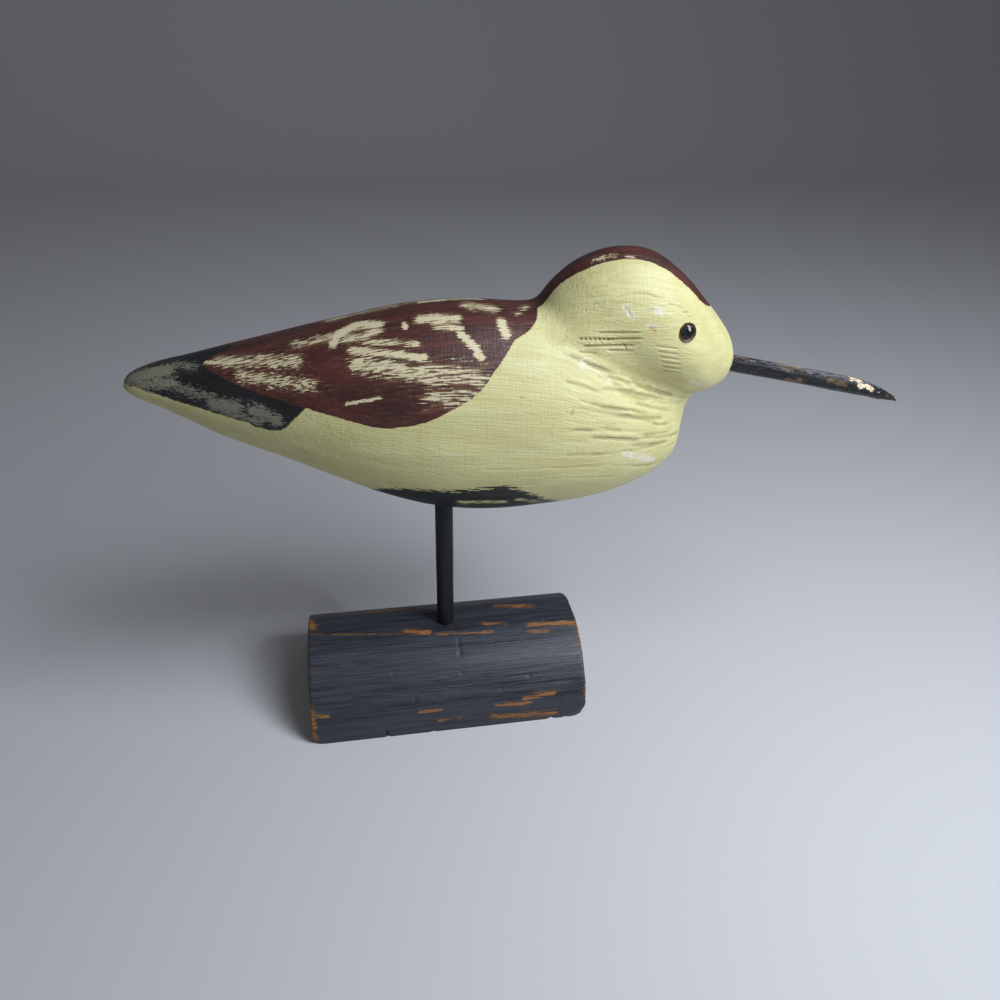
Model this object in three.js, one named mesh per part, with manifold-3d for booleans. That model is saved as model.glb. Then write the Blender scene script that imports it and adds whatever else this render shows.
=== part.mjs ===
// A carved and painted shorebird figurine on a dowel, standing on a half-round wooden base.
// Units are millimetres. The origin is on the ground under the dowel. +X points to the bill
// and +Z up. The bird is the same on both sides of the plane y = 0.
import * as THREE from 'three';
import { mergeVertices } from 'three/addons/utils/BufferGeometryUtils.js';
import Module from 'manifold-3d';

const wasm = await Module();
wasm.setup();

// Base: half of a round bar, with a narrow flat planed along its top for the dowel.
const baseBack = -51.5;
const baseFront = 49.5;
const baseRadius = 28.9;
const baseFlatHeight = 28.3;
const baseArris = 0.8;
const baseArcSteps = 20;

// Dowel: quarter inch, let into the base and into the belly.
const dowelDiameter = 6.35;
const dowelFoot = 12;
const dowelHead = 102;
const belowBelly = 70;

// Room between a piece and the seat drilled for it.
const gap = 0.3;

// Bill: a round peg let into the flat front of the face, drooping a little.
const billRoot = new THREE.Vector3(95, 0, 128.1);
const billDroop = THREE.MathUtils.degToRad(12.7);
const billPegLength = 9;
const billRadius = 3.2;
const billLength = 71.5;

// Eyes: a glass dome on a short drum, set in the side of the head and facing a little
// forward and up.
const eyeRadius = 3.1;
const eyeDrumDepth = 1.6;
const eyeDomeHeight = 1.7;
const eyeX = 74.2;
const eyeY = 16.6;
const eyeZ = 144.7;
const eyeForward = 0.24;
const eyeUpward = 0.13;

// Carving: ribs from the tail to the flat of the face. Each rib is an oval that runs from
// a point on the back to a point on the belly, both given as x and z. Half is its half
// width, and waist the share of its height, from the belly, at which it is widest. The
// ribs stand upright in the body and fan out round the nape to make the neck and head.
const birdRibs = [
  { back: [-96, 131.5], belly: [-96, 128], half: 3.5, waist: 0.55 },
  { back: [-93, 133.5], belly: [-92.5, 125.5], half: 6, waist: 0.55 },
  { back: [-85.5, 136], belly: [-84.5, 121.5], half: 9, waist: 0.55 },
  { back: [-70, 139], belly: [-70, 113], half: 13.5, waist: 0.52 },
  { back: [-50, 143.2], belly: [-50, 103.5], half: 19, waist: 0.5 },
  { back: [-28, 147.8], belly: [-28, 92.5], half: 24, waist: 0.5 },
  { back: [-8, 151.2], belly: [-8, 84.3], half: 26.5, waist: 0.5 },
  { back: [10, 151.7], belly: [12, 80.5], half: 27, waist: 0.5 },
  { back: [20, 150.8], belly: [32, 81], half: 27, waist: 0.48 },
  { back: [26, 150.5], belly: [52, 83.3], half: 26, waist: 0.45 },
  { back: [29.2, 151], belly: [69, 89.1], half: 23.5, waist: 0.42 },
  { back: [30.8, 152.3], belly: [80, 96.8], half: 20, waist: 0.47 },
  { back: [32.6, 154.8], belly: [82.3, 107], half: 17.2, waist: 0.58 },
  { back: [36, 158.4], belly: [83.2, 114], half: 16.2, waist: 0.62 },
  { back: [43, 163.6], belly: [86, 118], half: 17.6, waist: 0.54 },
  { back: [54, 167], belly: [89, 119.3], half: 17.6, waist: 0.5 },
  { back: [66.3, 165.7], belly: [91.2, 120], half: 15.6, waist: 0.5 },
  { back: [77.2, 158.3], belly: [93, 120.7], half: 12.9, waist: 0.5 },
  { back: [87, 148.4], belly: [94.2, 121.8], half: 10.4, waist: 0.5 },
  { back: [94.5, 139], belly: [94.3, 123.2], half: 8.2, waist: 0.5 },
  { back: [95.8, 134.4], belly: [94, 124], half: 7.2, waist: 0.5 },
];
const birdSides = 48;
const birdStepsPerRib = 3;
const birdRoundness = 2.1;

// The bill's ribs stand square to its length. Along is the distance from the face, and
// above and below are measured from the peg's centre line.
const billRibs = [
  { along: -billPegLength, above: billRadius, below: billRadius, half: billRadius },
  { along: 0, above: billRadius, below: billRadius, half: billRadius },
  { along: 28, above: 3.1, below: 3.1, half: 3.1 },
  { along: 48, above: 2.95, below: 3.1, half: 3 },
  { along: 54, above: 2.75, below: 3.1, half: 2.85 },
  { along: 60, above: 1.85, below: 3.15, half: 2.6 },
  { along: 65.4, above: 0.4, below: 3.2, half: 2.1 },
  { along: 69.8, above: -0.9, below: 3.2, half: 1.4 },
  { along: billLength, above: -1.8, below: 3, half: 0.7 },
];
const billSides = 20;
const billStepsPerRib = 2;
const billRoundness = 2;

const roundSides = 28;
const eyeDomeSteps = 6;
const sameVertex = 1e-4;

// Finishes.
const paintedWood = { color: 0xcfca92, roughness: 0.7 };
const blackPaint = { color: 0x17181a, roughness: 0.55 };
const darkGlass = { color: 0x2a1507, roughness: 0.05 };
const dowelPaint = { color: 0x0b0b0c, roughness: 0.6 };
const baseStain = { color: 0x2c3038, roughness: 0.45 };

// Runs a smooth curve through one value of every rib, with the given steps between ribs.
function smoothThrough(points, stepsPerRib) {
  const curve = new THREE.CatmullRomCurve3(points, false, 'catmullrom');
  const steps = (points.length - 1) * stepsPerRib;
  return Array.from({ length: steps + 1 }, (_, step) => curve.getPoint(step / steps));
}

// One oval ring: a superellipse whose upper half reaches the back point and whose lower
// half reaches the belly point.
function ringPoints(back, belly, half, waist, sides, roundness) {
  const middle = belly.clone().lerp(back, waist);
  const points = [];
  for (let side = 0; side < sides; side += 1) {
    const angle = (side / sides) * 2 * Math.PI;
    const up = Math.cos(angle);
    const out = Math.sin(angle);
    const upShare = Math.abs(up) ** (2 / roundness);
    const outShare = Math.sign(out) * Math.abs(out) ** (2 / roundness);
    const point = middle.clone().lerp(up >= 0 ? back : belly, upShare);
    point.y = half * outShare;
    points.push(point);
  }
  return points;
}

// Closes a row of rings into one solid, with a fan of triangles over each end.
function skinOverRings(rings) {
  const sides = rings[0].length;
  const positions = [];
  const faces = [];
  rings.flat().forEach((point) => positions.push(point.x, point.y, point.z));
  for (let ring = 0; ring < rings.length - 1; ring += 1) {
    for (let side = 0; side < sides; side += 1) {
      const next = (side + 1) % sides;
      const here = ring * sides;
      const ahead = here + sides;
      faces.push(here + side, ahead + next, here + next);
      faces.push(here + side, ahead + side, ahead + next);
    }
  }
  const capEnd = (ring, start, forward) => {
    const centre = new THREE.Vector3();
    ring.forEach((point) => centre.addScaledVector(point, 1 / sides));
    const hub = positions.length / 3;
    positions.push(centre.x, centre.y, centre.z);
    for (let side = 0; side < sides; side += 1) {
      const next = (side + 1) % sides;
      const rim = forward ? [start + next, start + side] : [start + side, start + next];
      faces.push(hub, ...rim);
    }
  };
  capEnd(rings[0], 0, false);
  capEnd(rings[rings.length - 1], (rings.length - 1) * sides, true);
  const geometry = new THREE.BufferGeometry();
  geometry.setAttribute('position', new THREE.Float32BufferAttribute(positions, 3));
  geometry.setIndex(faces);
  return geometry;
}

function loftRibs(ribs, stepsPerRib, sides, roundness) {
  const backs = smoothThrough(ribs.map((rib) => rib.back), stepsPerRib);
  const bellies = smoothThrough(ribs.map((rib) => rib.belly), stepsPerRib);
  const girths = smoothThrough(
    ribs.map((rib) => new THREE.Vector3(rib.half, rib.waist, 0)),
    stepsPerRib,
  );
  const rings = girths.map((girth, step) => (
    ringPoints(backs[step], bellies[step], girth.x, girth.y, sides, roundness)
  ));
  return skinOverRings(rings);
}

// Turns a geometry into a solid that can be cut.
function solidOf(geometry) {
  const bare = geometry.clone();
  bare.deleteAttribute('normal');
  bare.deleteAttribute('uv');
  const merged = mergeVertices(bare, sameVertex);
  const shape = new wasm.Mesh({
    numProp: 3,
    vertProperties: new Float32Array(merged.attributes.position.array),
    triVerts: new Uint32Array(merged.index.array),
  });
  return new wasm.Manifold(shape);
}

function geometryOf(solid) {
  const shape = solid.getMesh();
  const geometry = new THREE.BufferGeometry();
  geometry.setAttribute('position', new THREE.BufferAttribute(shape.vertProperties, 3));
  geometry.setIndex(new THREE.BufferAttribute(shape.triVerts, 1));
  return geometry;
}

function cutSeats(geometry, seats) {
  const carved = seats.reduce(
    (solid, seat) => solid.subtract(solidOf(seat)),
    solidOf(geometry),
  );
  return geometryOf(carved);
}

// A round bar from one point to another.
function roundBar(from, to, radius) {
  const direction = to.clone().sub(from);
  const bar = new THREE.CylinderGeometry(radius, radius, direction.length(), roundSides);
  const turn = new THREE.Quaternion().setFromUnitVectors(
    new THREE.Vector3(0, 1, 0),
    direction.clone().normalize(),
  );
  bar.applyQuaternion(turn);
  const centre = from.clone().lerp(to, 0.5);
  bar.translate(centre.x, centre.y, centre.z);
  return bar;
}

function namedMesh(name, geometry, finish) {
  const material = new THREE.MeshStandardMaterial({ metalness: 0, ...finish });
  geometry.computeVertexNormals();
  const mesh = new THREE.Mesh(geometry, material);
  mesh.name = name;
  return mesh;
}

function billGeometry() {
  const forward = new THREE.Vector3(Math.cos(billDroop), 0, -Math.sin(billDroop));
  const upward = new THREE.Vector3(Math.sin(billDroop), 0, Math.cos(billDroop));
  const ribs = billRibs.map((rib) => {
    const centre = billRoot.clone().addScaledVector(forward, rib.along);
    return {
      back: centre.clone().addScaledVector(upward, rib.above),
      belly: centre.clone().addScaledVector(upward, -rib.below),
      half: rib.half,
      waist: 0.5,
    };
  });
  return loftRibs(ribs, billStepsPerRib, billSides, billRoundness);
}

function billSeat() {
  const forward = new THREE.Vector3(Math.cos(billDroop), 0, -Math.sin(billDroop));
  const bottom = billRoot.clone().addScaledVector(forward, -billPegLength - gap);
  const mouth = billRoot.clone().addScaledVector(forward, billPegLength);
  return roundBar(bottom, mouth, billRadius + gap);
}

// Side is -1 for the eye nearer to the viewer and 1 for the other.
function eyeAxis(side) {
  return new THREE.Vector3(eyeForward, side, eyeUpward).normalize();
}

function eyeSeat(side) {
  const centre = new THREE.Vector3(eyeX, side * eyeY, eyeZ);
  const floor = centre.clone().addScaledVector(eyeAxis(side), -eyeDrumDepth - gap);
  const mouth = centre.clone().addScaledVector(eyeAxis(side), eyeRadius);
  return roundBar(floor, mouth, eyeRadius + gap);
}

function eyeMesh(name, side) {
  const profile = [
    new THREE.Vector2(0, -eyeDrumDepth),
    new THREE.Vector2(eyeRadius, -eyeDrumDepth),
  ];
  for (let step = 0; step <= eyeDomeSteps; step += 1) {
    const angle = (step / eyeDomeSteps) * (Math.PI / 2);
    const reach = step === eyeDomeSteps ? 0 : eyeRadius * Math.cos(angle);
    profile.push(new THREE.Vector2(reach, eyeDomeHeight * Math.sin(angle)));
  }
  const geometry = new THREE.LatheGeometry(profile, roundSides);
  const eye = namedMesh(name, geometry, darkGlass);
  eye.quaternion.setFromUnitVectors(new THREE.Vector3(0, 1, 0), eyeAxis(side));
  eye.position.set(eyeX, side * eyeY, eyeZ);
  return eye;
}

function dowelBar(radius, foot, head) {
  return roundBar(new THREE.Vector3(0, 0, foot), new THREE.Vector3(0, 0, head), radius);
}

function baseGeometry() {
  const flatHalf = Math.sqrt(baseRadius ** 2 - baseFlatHeight ** 2);
  const flatAngle = Math.atan2(baseFlatHeight, flatHalf);
  const section = new THREE.Shape();
  section.moveTo(baseRadius, 0);
  section.absarc(0, 0, baseRadius, 0, flatAngle, false);
  section.lineTo(-flatHalf, baseFlatHeight);
  section.absarc(0, 0, baseRadius, Math.PI - flatAngle, Math.PI, false);
  section.closePath();
  const geometry = new THREE.ExtrudeGeometry(section, {
    depth: baseFront - baseBack - 2 * baseArris,
    curveSegments: baseArcSteps,
    bevelEnabled: true,
    bevelThickness: baseArris,
    bevelSize: baseArris,
    bevelOffset: -baseArris,
    bevelSegments: 2,
  });
  geometry.rotateX(Math.PI / 2);
  geometry.rotateZ(Math.PI / 2);
  geometry.translate(baseBack + baseArris, 0, 0);
  return geometry;
}

function birdGeometry() {
  const ribs = birdRibs.map((rib) => ({
    ...rib,
    back: new THREE.Vector3(rib.back[0], 0, rib.back[1]),
    belly: new THREE.Vector3(rib.belly[0], 0, rib.belly[1]),
  }));
  return loftRibs(ribs, birdStepsPerRib, birdSides, birdRoundness);
}

const dowelRadius = dowelDiameter / 2;
const dowelSeatRadius = dowelRadius + gap;
const aboveBase = baseFlatHeight + dowelDiameter;

const figurine = new THREE.Group();
figurine.add(
  namedMesh(
    'base_block',
    cutSeats(baseGeometry(), [dowelBar(dowelSeatRadius, dowelFoot - gap, aboveBase)]),
    baseStain,
  ),
  namedMesh(
    'support_rod',
    dowelBar(dowelRadius, dowelFoot, dowelHead),
    dowelPaint,
  ),
  namedMesh(
    'bird_body',
    cutSeats(birdGeometry(), [
      dowelBar(dowelSeatRadius, belowBelly, dowelHead + gap),
      billSeat(),
      eyeSeat(-1),
      eyeSeat(1),
    ]),
    paintedWood,
  ),
  namedMesh('bill', billGeometry(), blackPaint),
  eyeMesh('eye_near', -1),
  eyeMesh('eye_far', 1),
);

export default figurine;
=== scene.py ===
# %% [markdown]
# # A carved and painted shorebird on its half-round base
#
# The object is a wooden shorebird, about 260 mm from tail to bill tip. It stands on one thin black
# dowel over a half-round block of wood. Every solid has been measured and made already, so this
# lesson only gives each one its finished surface: tool marks, paint, wear and glass.
#
# The first cell loads the measured solids. They stay where they are, in metres, and every new piece
# is made around the place of the solid that it stands for.

# %% Load the measured solids
import math

import bmesh
import bpy
import numpy as np
from mathutils import Matrix, Vector


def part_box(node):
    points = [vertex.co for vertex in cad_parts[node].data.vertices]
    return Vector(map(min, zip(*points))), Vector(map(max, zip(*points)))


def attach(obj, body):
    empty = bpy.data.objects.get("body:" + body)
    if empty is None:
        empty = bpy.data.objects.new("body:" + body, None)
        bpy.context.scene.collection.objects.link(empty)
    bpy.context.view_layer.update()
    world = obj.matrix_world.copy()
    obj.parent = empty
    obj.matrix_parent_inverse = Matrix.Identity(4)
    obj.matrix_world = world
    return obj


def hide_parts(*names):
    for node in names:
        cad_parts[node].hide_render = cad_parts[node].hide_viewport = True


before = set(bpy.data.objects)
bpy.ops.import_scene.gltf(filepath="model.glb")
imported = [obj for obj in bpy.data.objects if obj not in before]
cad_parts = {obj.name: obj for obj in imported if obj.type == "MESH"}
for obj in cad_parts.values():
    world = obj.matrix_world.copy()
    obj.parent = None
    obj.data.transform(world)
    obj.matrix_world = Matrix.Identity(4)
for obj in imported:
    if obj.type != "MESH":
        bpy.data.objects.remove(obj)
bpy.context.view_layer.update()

MM = 0.001

# %% [markdown]
# ## The camera
#
# The photograph was taken from in front and above, close to the object, with a wide lens. The camera
# is placed by its distance from the object's foot and by three angles, so that the picture can be
# laid over the photograph.

# %% Place the camera
picture_side = 1000
focal_pixels = 850
sensor_width = 36.0
camera_place = Vector((-27, -253, 233)) * MM
camera_turn = math.radians(10.5)
camera_dip = math.radians(30.8)
camera_roll = math.radians(-1.39)

level = Matrix.Rotation(math.pi / 2 - camera_dip, 4, "X")
aim = Matrix.Rotation(-camera_turn, 4, "Z") @ level @ Matrix.Rotation(-camera_roll, 4, "Z")
bpy.ops.object.camera_add(location=camera_place, rotation=aim.to_euler())
camera = bpy.context.object
camera.name = "viewpoint"
camera.data.sensor_width = sensor_width
camera.data.lens = focal_pixels / picture_side * sensor_width
camera.data.clip_start = 0.01
bpy.context.scene.camera = camera
print("lens, mm:", round(camera.data.lens, 1))

# %% [markdown]
# ## Floor and light
#
# The object is shown on a plain pale sweep: a floor that curves up into a wall, so that no line
# crosses the background. A large soft lamp hangs high in front and to the right, and a smaller one
# lower and nearer, as in the photograph, where the right side of the breast is bright and the tail
# and the underside fall into olive shade. A pale surround keeps the shade open.

# %% Helpers for picking and finishing objects
def pick_only(piece):
    """Leave one object selected and active, so that the next operator acts on it alone."""
    bpy.ops.object.select_all(action="DESELECT")
    piece.select_set(True)
    bpy.context.view_layer.objects.active = piece


def write_place_into_mesh(piece):
    """Move an object's place and turn into its mesh, and leave the object at the origin."""
    pick_only(piece)
    bpy.ops.object.transform_apply(location=True, rotation=True, scale=True)


def finish_with(piece, kind, **settings):
    """Add one modifier, set it up and apply it."""
    pick_only(piece)
    modifier = piece.modifiers.new(kind.lower(), kind)
    for name, value in settings.items():
        setattr(modifier, name, value)
    bpy.ops.object.modifier_apply(modifier=modifier.name)


# %% Sweep the floor up into a wall
floor_half = 1.5
wall_height = 1.2
sweep_radius = 0.5

bpy.ops.object.select_all(action="DESELECT")
bpy.ops.mesh.primitive_plane_add(size=2 * floor_half, location=(0, 0, 0))
floor = bpy.context.object
floor.name = "pale_sweep"
write_place_into_mesh(floor)
bpy.ops.object.mode_set(mode="EDIT")
bpy.ops.mesh.select_mode(type="EDGE")
bpy.ops.mesh.select_all(action="DESELECT")
sheet = bmesh.from_edit_mesh(floor.data)
for edge in sheet.edges:
    edge.select = all(vertex.co.y > floor_half / 2 for vertex in edge.verts)
bmesh.update_edit_mesh(floor.data)
bpy.ops.mesh.extrude_region_move(TRANSFORM_OT_translate={"value": (0, 0, wall_height)})
bpy.ops.mesh.select_all(action="DESELECT")
sheet = bmesh.from_edit_mesh(floor.data)
for edge in sheet.edges:
    edge.select = all(vertex.co.y > floor_half / 2 and vertex.co.z < MM for vertex in edge.verts)
bmesh.update_edit_mesh(floor.data)
bpy.ops.mesh.bevel(offset=sweep_radius, segments=24, profile=0.5)
bpy.ops.object.mode_set(mode="OBJECT")
bpy.ops.object.shade_smooth()
floor_finish = bpy.data.materials.new("pale_grey_paper")
floor_finish.use_nodes = True
floor_finish.node_tree.nodes["Principled BSDF"].inputs["Base Color"].default_value = (0.62, 0.62, 0.63, 1.0)
floor_finish.node_tree.nodes["Principled BSDF"].inputs["Roughness"].default_value = 0.9
floor.data.materials.append(floor_finish)

# %% Hang the lamps and set the surround
key_place = Vector((0.34, -0.24, 0.62))
key_size = 0.3
key_power = 2.8
side_place = Vector((0.22, -0.19, 0.27))
side_size = 0.12
side_power = 0.55
daylight = (0.94, 1.0, 1.1)
aim_point = Vector((0.0, 0.0, 0.1))


def hang_lamp(name, place, size, power):
    """Add a square soft lamp that faces the object and isn't seen itself."""
    turn = (place - aim_point).to_track_quat("Z", "Y").to_euler()
    bpy.ops.object.light_add(type="AREA", location=place, rotation=turn)
    lamp = bpy.context.object
    lamp.name = name
    lamp.visible_camera = False
    lamp.data.shape = "SQUARE"
    lamp.data.size = size
    lamp.data.energy = power
    lamp.data.color = daylight


hang_lamp("key_lamp", key_place, key_size, key_power)
hang_lamp("side_lamp", side_place, side_size, side_power)

surround_colour = (0.9, 0.93, 1.0, 1.0)
surround_strength = 0.12
surround = bpy.data.worlds.new("surround")
surround.use_nodes = True
backdrop = surround.node_tree.nodes["Background"]
backdrop.inputs["Color"].default_value = surround_colour
backdrop.inputs["Strength"].default_value = surround_strength
bpy.context.scene.world = surround
bpy.context.scene.view_settings.view_transform = "Standard"

# %% [markdown]
# ## Words for building a finish
#
# Paint, stain and wear are patterns, and a pattern is easier to read when its nodes are placed by
# short words. `place` puts one node down and joins its inputs, `calc` does one sum, `ease` turns a
# range into a soft mask and `lay_over` puts one colour over another. Colours are written as they
# would be read off a swatch, from 0 to 255, and turned into the light values that shaders use.

# %% Short words for nodes
def swatch(red, green, blue):
    """A swatch colour in linear light."""
    shares = [value / 255 for value in (red, green, blue)]
    return (*[((s + 0.055) / 1.055) ** 2.4 if s > 0.04 else s / 12.92 for s in shares], 1.0)


def place(tree, kind, inputs=None, **options):
    """Put one node down, set its options, and join or set its inputs."""
    made = tree.nodes.new(kind)
    for name, value in options.items():
        setattr(made, name, value)
    for name, value in (inputs or {}).items():
        if isinstance(value, bpy.types.NodeSocket):
            tree.links.new(value, made.inputs[name])
        else:
            made.inputs[name].default_value = value
    return made


def calc(tree, operation, first, second=0.0):
    """One sum of two values."""
    return place(tree, "ShaderNodeMath", {0: first, 1: second}, operation=operation).outputs[0]


def ease(tree, value, low, high, start=0.0, end=1.0):
    """Rise softly from start to end while the value goes from low to high."""
    inputs = {"Value": value, "From Min": low, "From Max": high, "To Min": start, "To Max": end}
    return place(tree, "ShaderNodeMapRange", inputs, interpolation_type="SMOOTHSTEP").outputs["Result"]


def lay_over(tree, amount, under, over):
    """Lay one colour over another by a mask."""
    return place(tree, "ShaderNodeMix", {0: amount, 6: under, 7: over}, data_type="RGBA").outputs[2]


def read_value(tree, name):
    """Read a number that is stored on the surface."""
    return place(tree, "ShaderNodeAttribute", attribute_name=name).outputs["Fac"]


def read_vector(tree, name):
    """Read a direction or place that is stored on the surface."""
    return place(tree, "ShaderNodeAttribute", attribute_name=name).outputs["Vector"]

# %% [markdown]
# ## Effects that several finishes share
#
# Wood grain, brush strokes and wear all run along the piece, so each piece stores a vector called
# `grain`, in millimetres: first along the grain, then twice across it. Three effects are built once
# from it as node groups:
#
# * `Streaks` is a noise that is drawn out along the grain. Brush strokes and open grain come from it.
# * `Rubbed through` says where paint has been rubbed off: the more rub, the more streaks show.
# * `Brushed border` turns a distance from a painted line into a mask with a hand-brushed edge.

# %% A node group and its sockets
def new_effect(name, inputs, outputs):
    """Make a node group with named inputs and outputs, and give back its tree and its two ends."""
    tree = bpy.data.node_groups.new(name, "ShaderNodeTree")
    for title, value in inputs.items():
        kind = "NodeSocketVector" if isinstance(value, tuple) else "NodeSocketFloat"
        socket = tree.interface.new_socket(title, in_out="INPUT", socket_type=kind)
        socket.default_value = value
    for title in outputs:
        tree.interface.new_socket(title, in_out="OUTPUT", socket_type="NodeSocketFloat")
    start = tree.nodes.new("NodeGroupInput").outputs
    end = tree.nodes.new("NodeGroupOutput").inputs
    return tree, start, end


def use_effect(tree, effect, inputs, output):
    """Place a shared effect in a material and give back one of its outputs."""
    made = place(tree, "ShaderNodeGroup", node_tree=effect)
    for name, value in inputs.items():
        if isinstance(value, bpy.types.NodeSocket):
            tree.links.new(value, made.inputs[name])
        else:
            made.inputs[name].default_value = value
    return made.outputs[output]


# %% Streaks along the grain
streaks, start, end = new_effect(
    "Streaks", {"Grain": (0.0, 0.0, 0.0), "Length": 20.0, "Width": 1.0, "Seed": 0.0}, ["Streak"]
)
parts = place(streaks, "ShaderNodeSeparateXYZ", {0: start["Grain"]}).outputs
squeezed = place(
    streaks,
    "ShaderNodeCombineXYZ",
    {
        "X": calc(streaks, "DIVIDE", parts["X"], start["Length"]),
        "Y": calc(streaks, "DIVIDE", parts["Y"], start["Width"]),
        "Z": calc(streaks, "ADD", calc(streaks, "DIVIDE", parts["Z"], start["Width"]), start["Seed"]),
    },
)
noise = place(
    streaks,
    "ShaderNodeTexNoise",
    {"Vector": squeezed.outputs[0], "Scale": 1.0, "Detail": 2.0, "Roughness": 0.55},
)
streaks.links.new(ease(streaks, noise.outputs["Fac"], 0.28, 0.72), end["Streak"])

# %% Paint rubbed through along the grain
rubbed, start, end = new_effect(
    "Rubbed through",
    {"Grain": (0.0, 0.0, 0.0), "Rub": 0.5, "Length": 8.0, "Width": 0.5, "Softness": 0.08, "Seed": 0.0},
    ["Mask"],
)
fine = use_effect(
    rubbed,
    streaks,
    {"Grain": start["Grain"], "Length": start["Length"], "Width": start["Width"], "Seed": start["Seed"]},
    "Streak",
)
breaks = place(
    rubbed,
    "ShaderNodeTexNoise",
    {"Vector": start["Grain"], "Scale": 0.9, "Detail": 3.0, "Roughness": 0.65},
).outputs["Fac"]
ragged = calc(rubbed, "ADD", calc(rubbed, "MULTIPLY", fine, 0.7), calc(rubbed, "MULTIPLY", breaks, 0.6))
bare = calc(rubbed, "SUBTRACT", calc(rubbed, "ADD", ragged, start["Rub"]), 1.15)
rubbed.links.new(
    ease(rubbed, bare, calc(rubbed, "MULTIPLY", start["Softness"], -1.0), start["Softness"]), end["Mask"]
)

# %% A border drawn with a loaded brush
border, start, end = new_effect(
    "Brushed border",
    {
        "Distance": 0.0,
        "Grain": (0.0, 0.0, 0.0),
        "Wobble": 0.3,
        "Drag": 0.2,
        "Softness": 0.15,
        "Seed": 0.0,
    },
    ["Mask"],
)
wave = place(
    border,
    "ShaderNodeTexNoise",
    {"Vector": start["Grain"], "Scale": 0.35, "Detail": 3.0, "Roughness": 0.6},
).outputs["Fac"]
bristles = use_effect(
    border, streaks, {"Grain": start["Grain"], "Length": 5.0, "Width": 0.45, "Seed": start["Seed"]}, "Streak"
)
shifts = calc(
    border,
    "ADD",
    calc(border, "MULTIPLY", calc(border, "SUBTRACT", wave, 0.5), start["Wobble"]),
    calc(border, "MULTIPLY", calc(border, "SUBTRACT", bristles, 0.5), start["Drag"]),
)
reach = calc(border, "ADD", start["Distance"], shifts)
border.links.new(
    ease(border, reach, calc(border, "MULTIPLY", start["Softness"], -1.0), start["Softness"]), end["Mask"]
)

# %% [markdown]
# ## Moving points by hand, in code
#
# Wood keeps the marks of the tool. After a piece has been modelled and given a fine even mesh, its
# points are pressed in or raised along their normals, as a sculpting brush would do. The helpers
# below read all points at once, measure how far each lies from a line drawn on the surface, and make
# a smooth seeded noise, so that the same marks come out in each run.

# %% Read, move and label the points of a mesh
def read_points(piece):
    """All points of a piece, in millimetres."""
    points = np.empty(3 * len(piece.data.vertices))
    piece.data.vertices.foreach_get("co", points)
    return points.reshape(-1, 3) / MM


def read_normals(piece):
    """The outward direction at every point."""
    normals = np.empty(3 * len(piece.data.vertices))
    piece.data.vertex_normals.foreach_get("vector", normals)
    return normals.reshape(-1, 3)


def write_points(piece, points):
    """Put the points of a piece, in millimetres, back into its mesh."""
    piece.data.vertices.foreach_set("co", (points * MM).ravel())
    piece.data.update()


def store(piece, name, values):
    """Keep a number or a vector for each point, for a material to read."""
    kind, key = ("FLOAT", "value") if values.ndim == 1 else ("FLOAT_VECTOR", "vector")
    layer = piece.data.attributes.new(name, kind, "POINT")
    layer.data.foreach_set(key, values.astype(np.float32).ravel())


# %% Smooth seeded noise
lattice_key = np.array([73856093, 19349663, 83492791])


def noise_at(points, sizes, seed):
    """Noise from -1 to 1 whose bumps have the given sizes along x, y and z."""
    scaled = points / np.asarray(sizes, float)
    cell = np.floor(scaled).astype(np.int64)
    part = scaled - cell
    part = part * part * (3 - 2 * part)
    total = np.zeros(len(points))
    for corner in np.ndindex(2, 2, 2):
        key = ((cell + corner) * lattice_key).sum(axis=1) + seed * 668265263
        key = (key ^ (key >> 13)) * 1274126177
        height = ((key ^ (key >> 16)) & 0xFFFF) / 32767.5 - 1
        weight = np.prod(np.where(corner, part, 1 - part), axis=1)
        total += weight * height
    return total


# %% Distance from a drawn line
def smooth_step(values, low, high):
    """Rise softly from 0 at low to 1 at high."""
    share = np.clip((values - low) / (high - low), 0, 1)
    return share * share * (3 - 2 * share)


def off_line(points, line):
    """Each point's distance from a line of places, and how far along the line it lies, from 0 to 1."""
    line = np.asarray(line, float)
    steps = line[1:] - line[:-1]
    lengths = np.linalg.norm(steps, axis=1)
    passed = np.concatenate(([0.0], np.cumsum(lengths)))
    nearest = np.full(len(points), np.inf)
    along = np.zeros(len(points))
    for first, step, length, before in zip(line, steps, lengths, passed):
        share = np.clip((points - first) @ step / length**2, 0, 1)
        gap = np.linalg.norm(points - first - share[:, None] * step, axis=1)
        closer = gap < nearest
        nearest[closer] = gap[closer]
        along[closer] = (before + share[closer] * length) / passed[-1]
    return nearest, along


def smooth_curve(places, steps=12):
    """A smooth curve through a few places."""
    places = np.asarray(places, float)
    ends = np.vstack([2 * places[0] - places[1], places, 2 * places[-1] - places[-2]])
    shares = np.linspace(0, 1, steps, endpoint=False)[:, None]
    curve = []
    for before, first, last, after in zip(ends, ends[1:], ends[2:], ends[3:]):
        bend = 2 * before - 5 * first + 4 * last - after
        twist = 3 * first - before - 3 * last + after
        curve.append(first + 0.5 * shares * (last - before + shares * (bend + shares * twist)))
    return np.vstack([*curve, places[-1:]])

# %% [markdown]
# ## The half-round base
#
# The base is a length of half-round wood, flat below, planed to a narrow flat on top where the dowel
# goes in. It begins as a cylinder lying along X. Two bisects take away the lower half and the thin
# cap on top, and a small bevel breaks the sharp ends. A remesh then gives it an even skin that is
# fine enough to carry plane marks, dents and a short split.

# %% Saw and plane the half round
base_low, base_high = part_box("base_block")
base_radius = (base_high[1] - base_low[1]) / 2
base_length = base_high[0] - base_low[0]
base_middle = (base_high[0] + base_low[0]) / 2
end_bevel = 0.8 * MM

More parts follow.
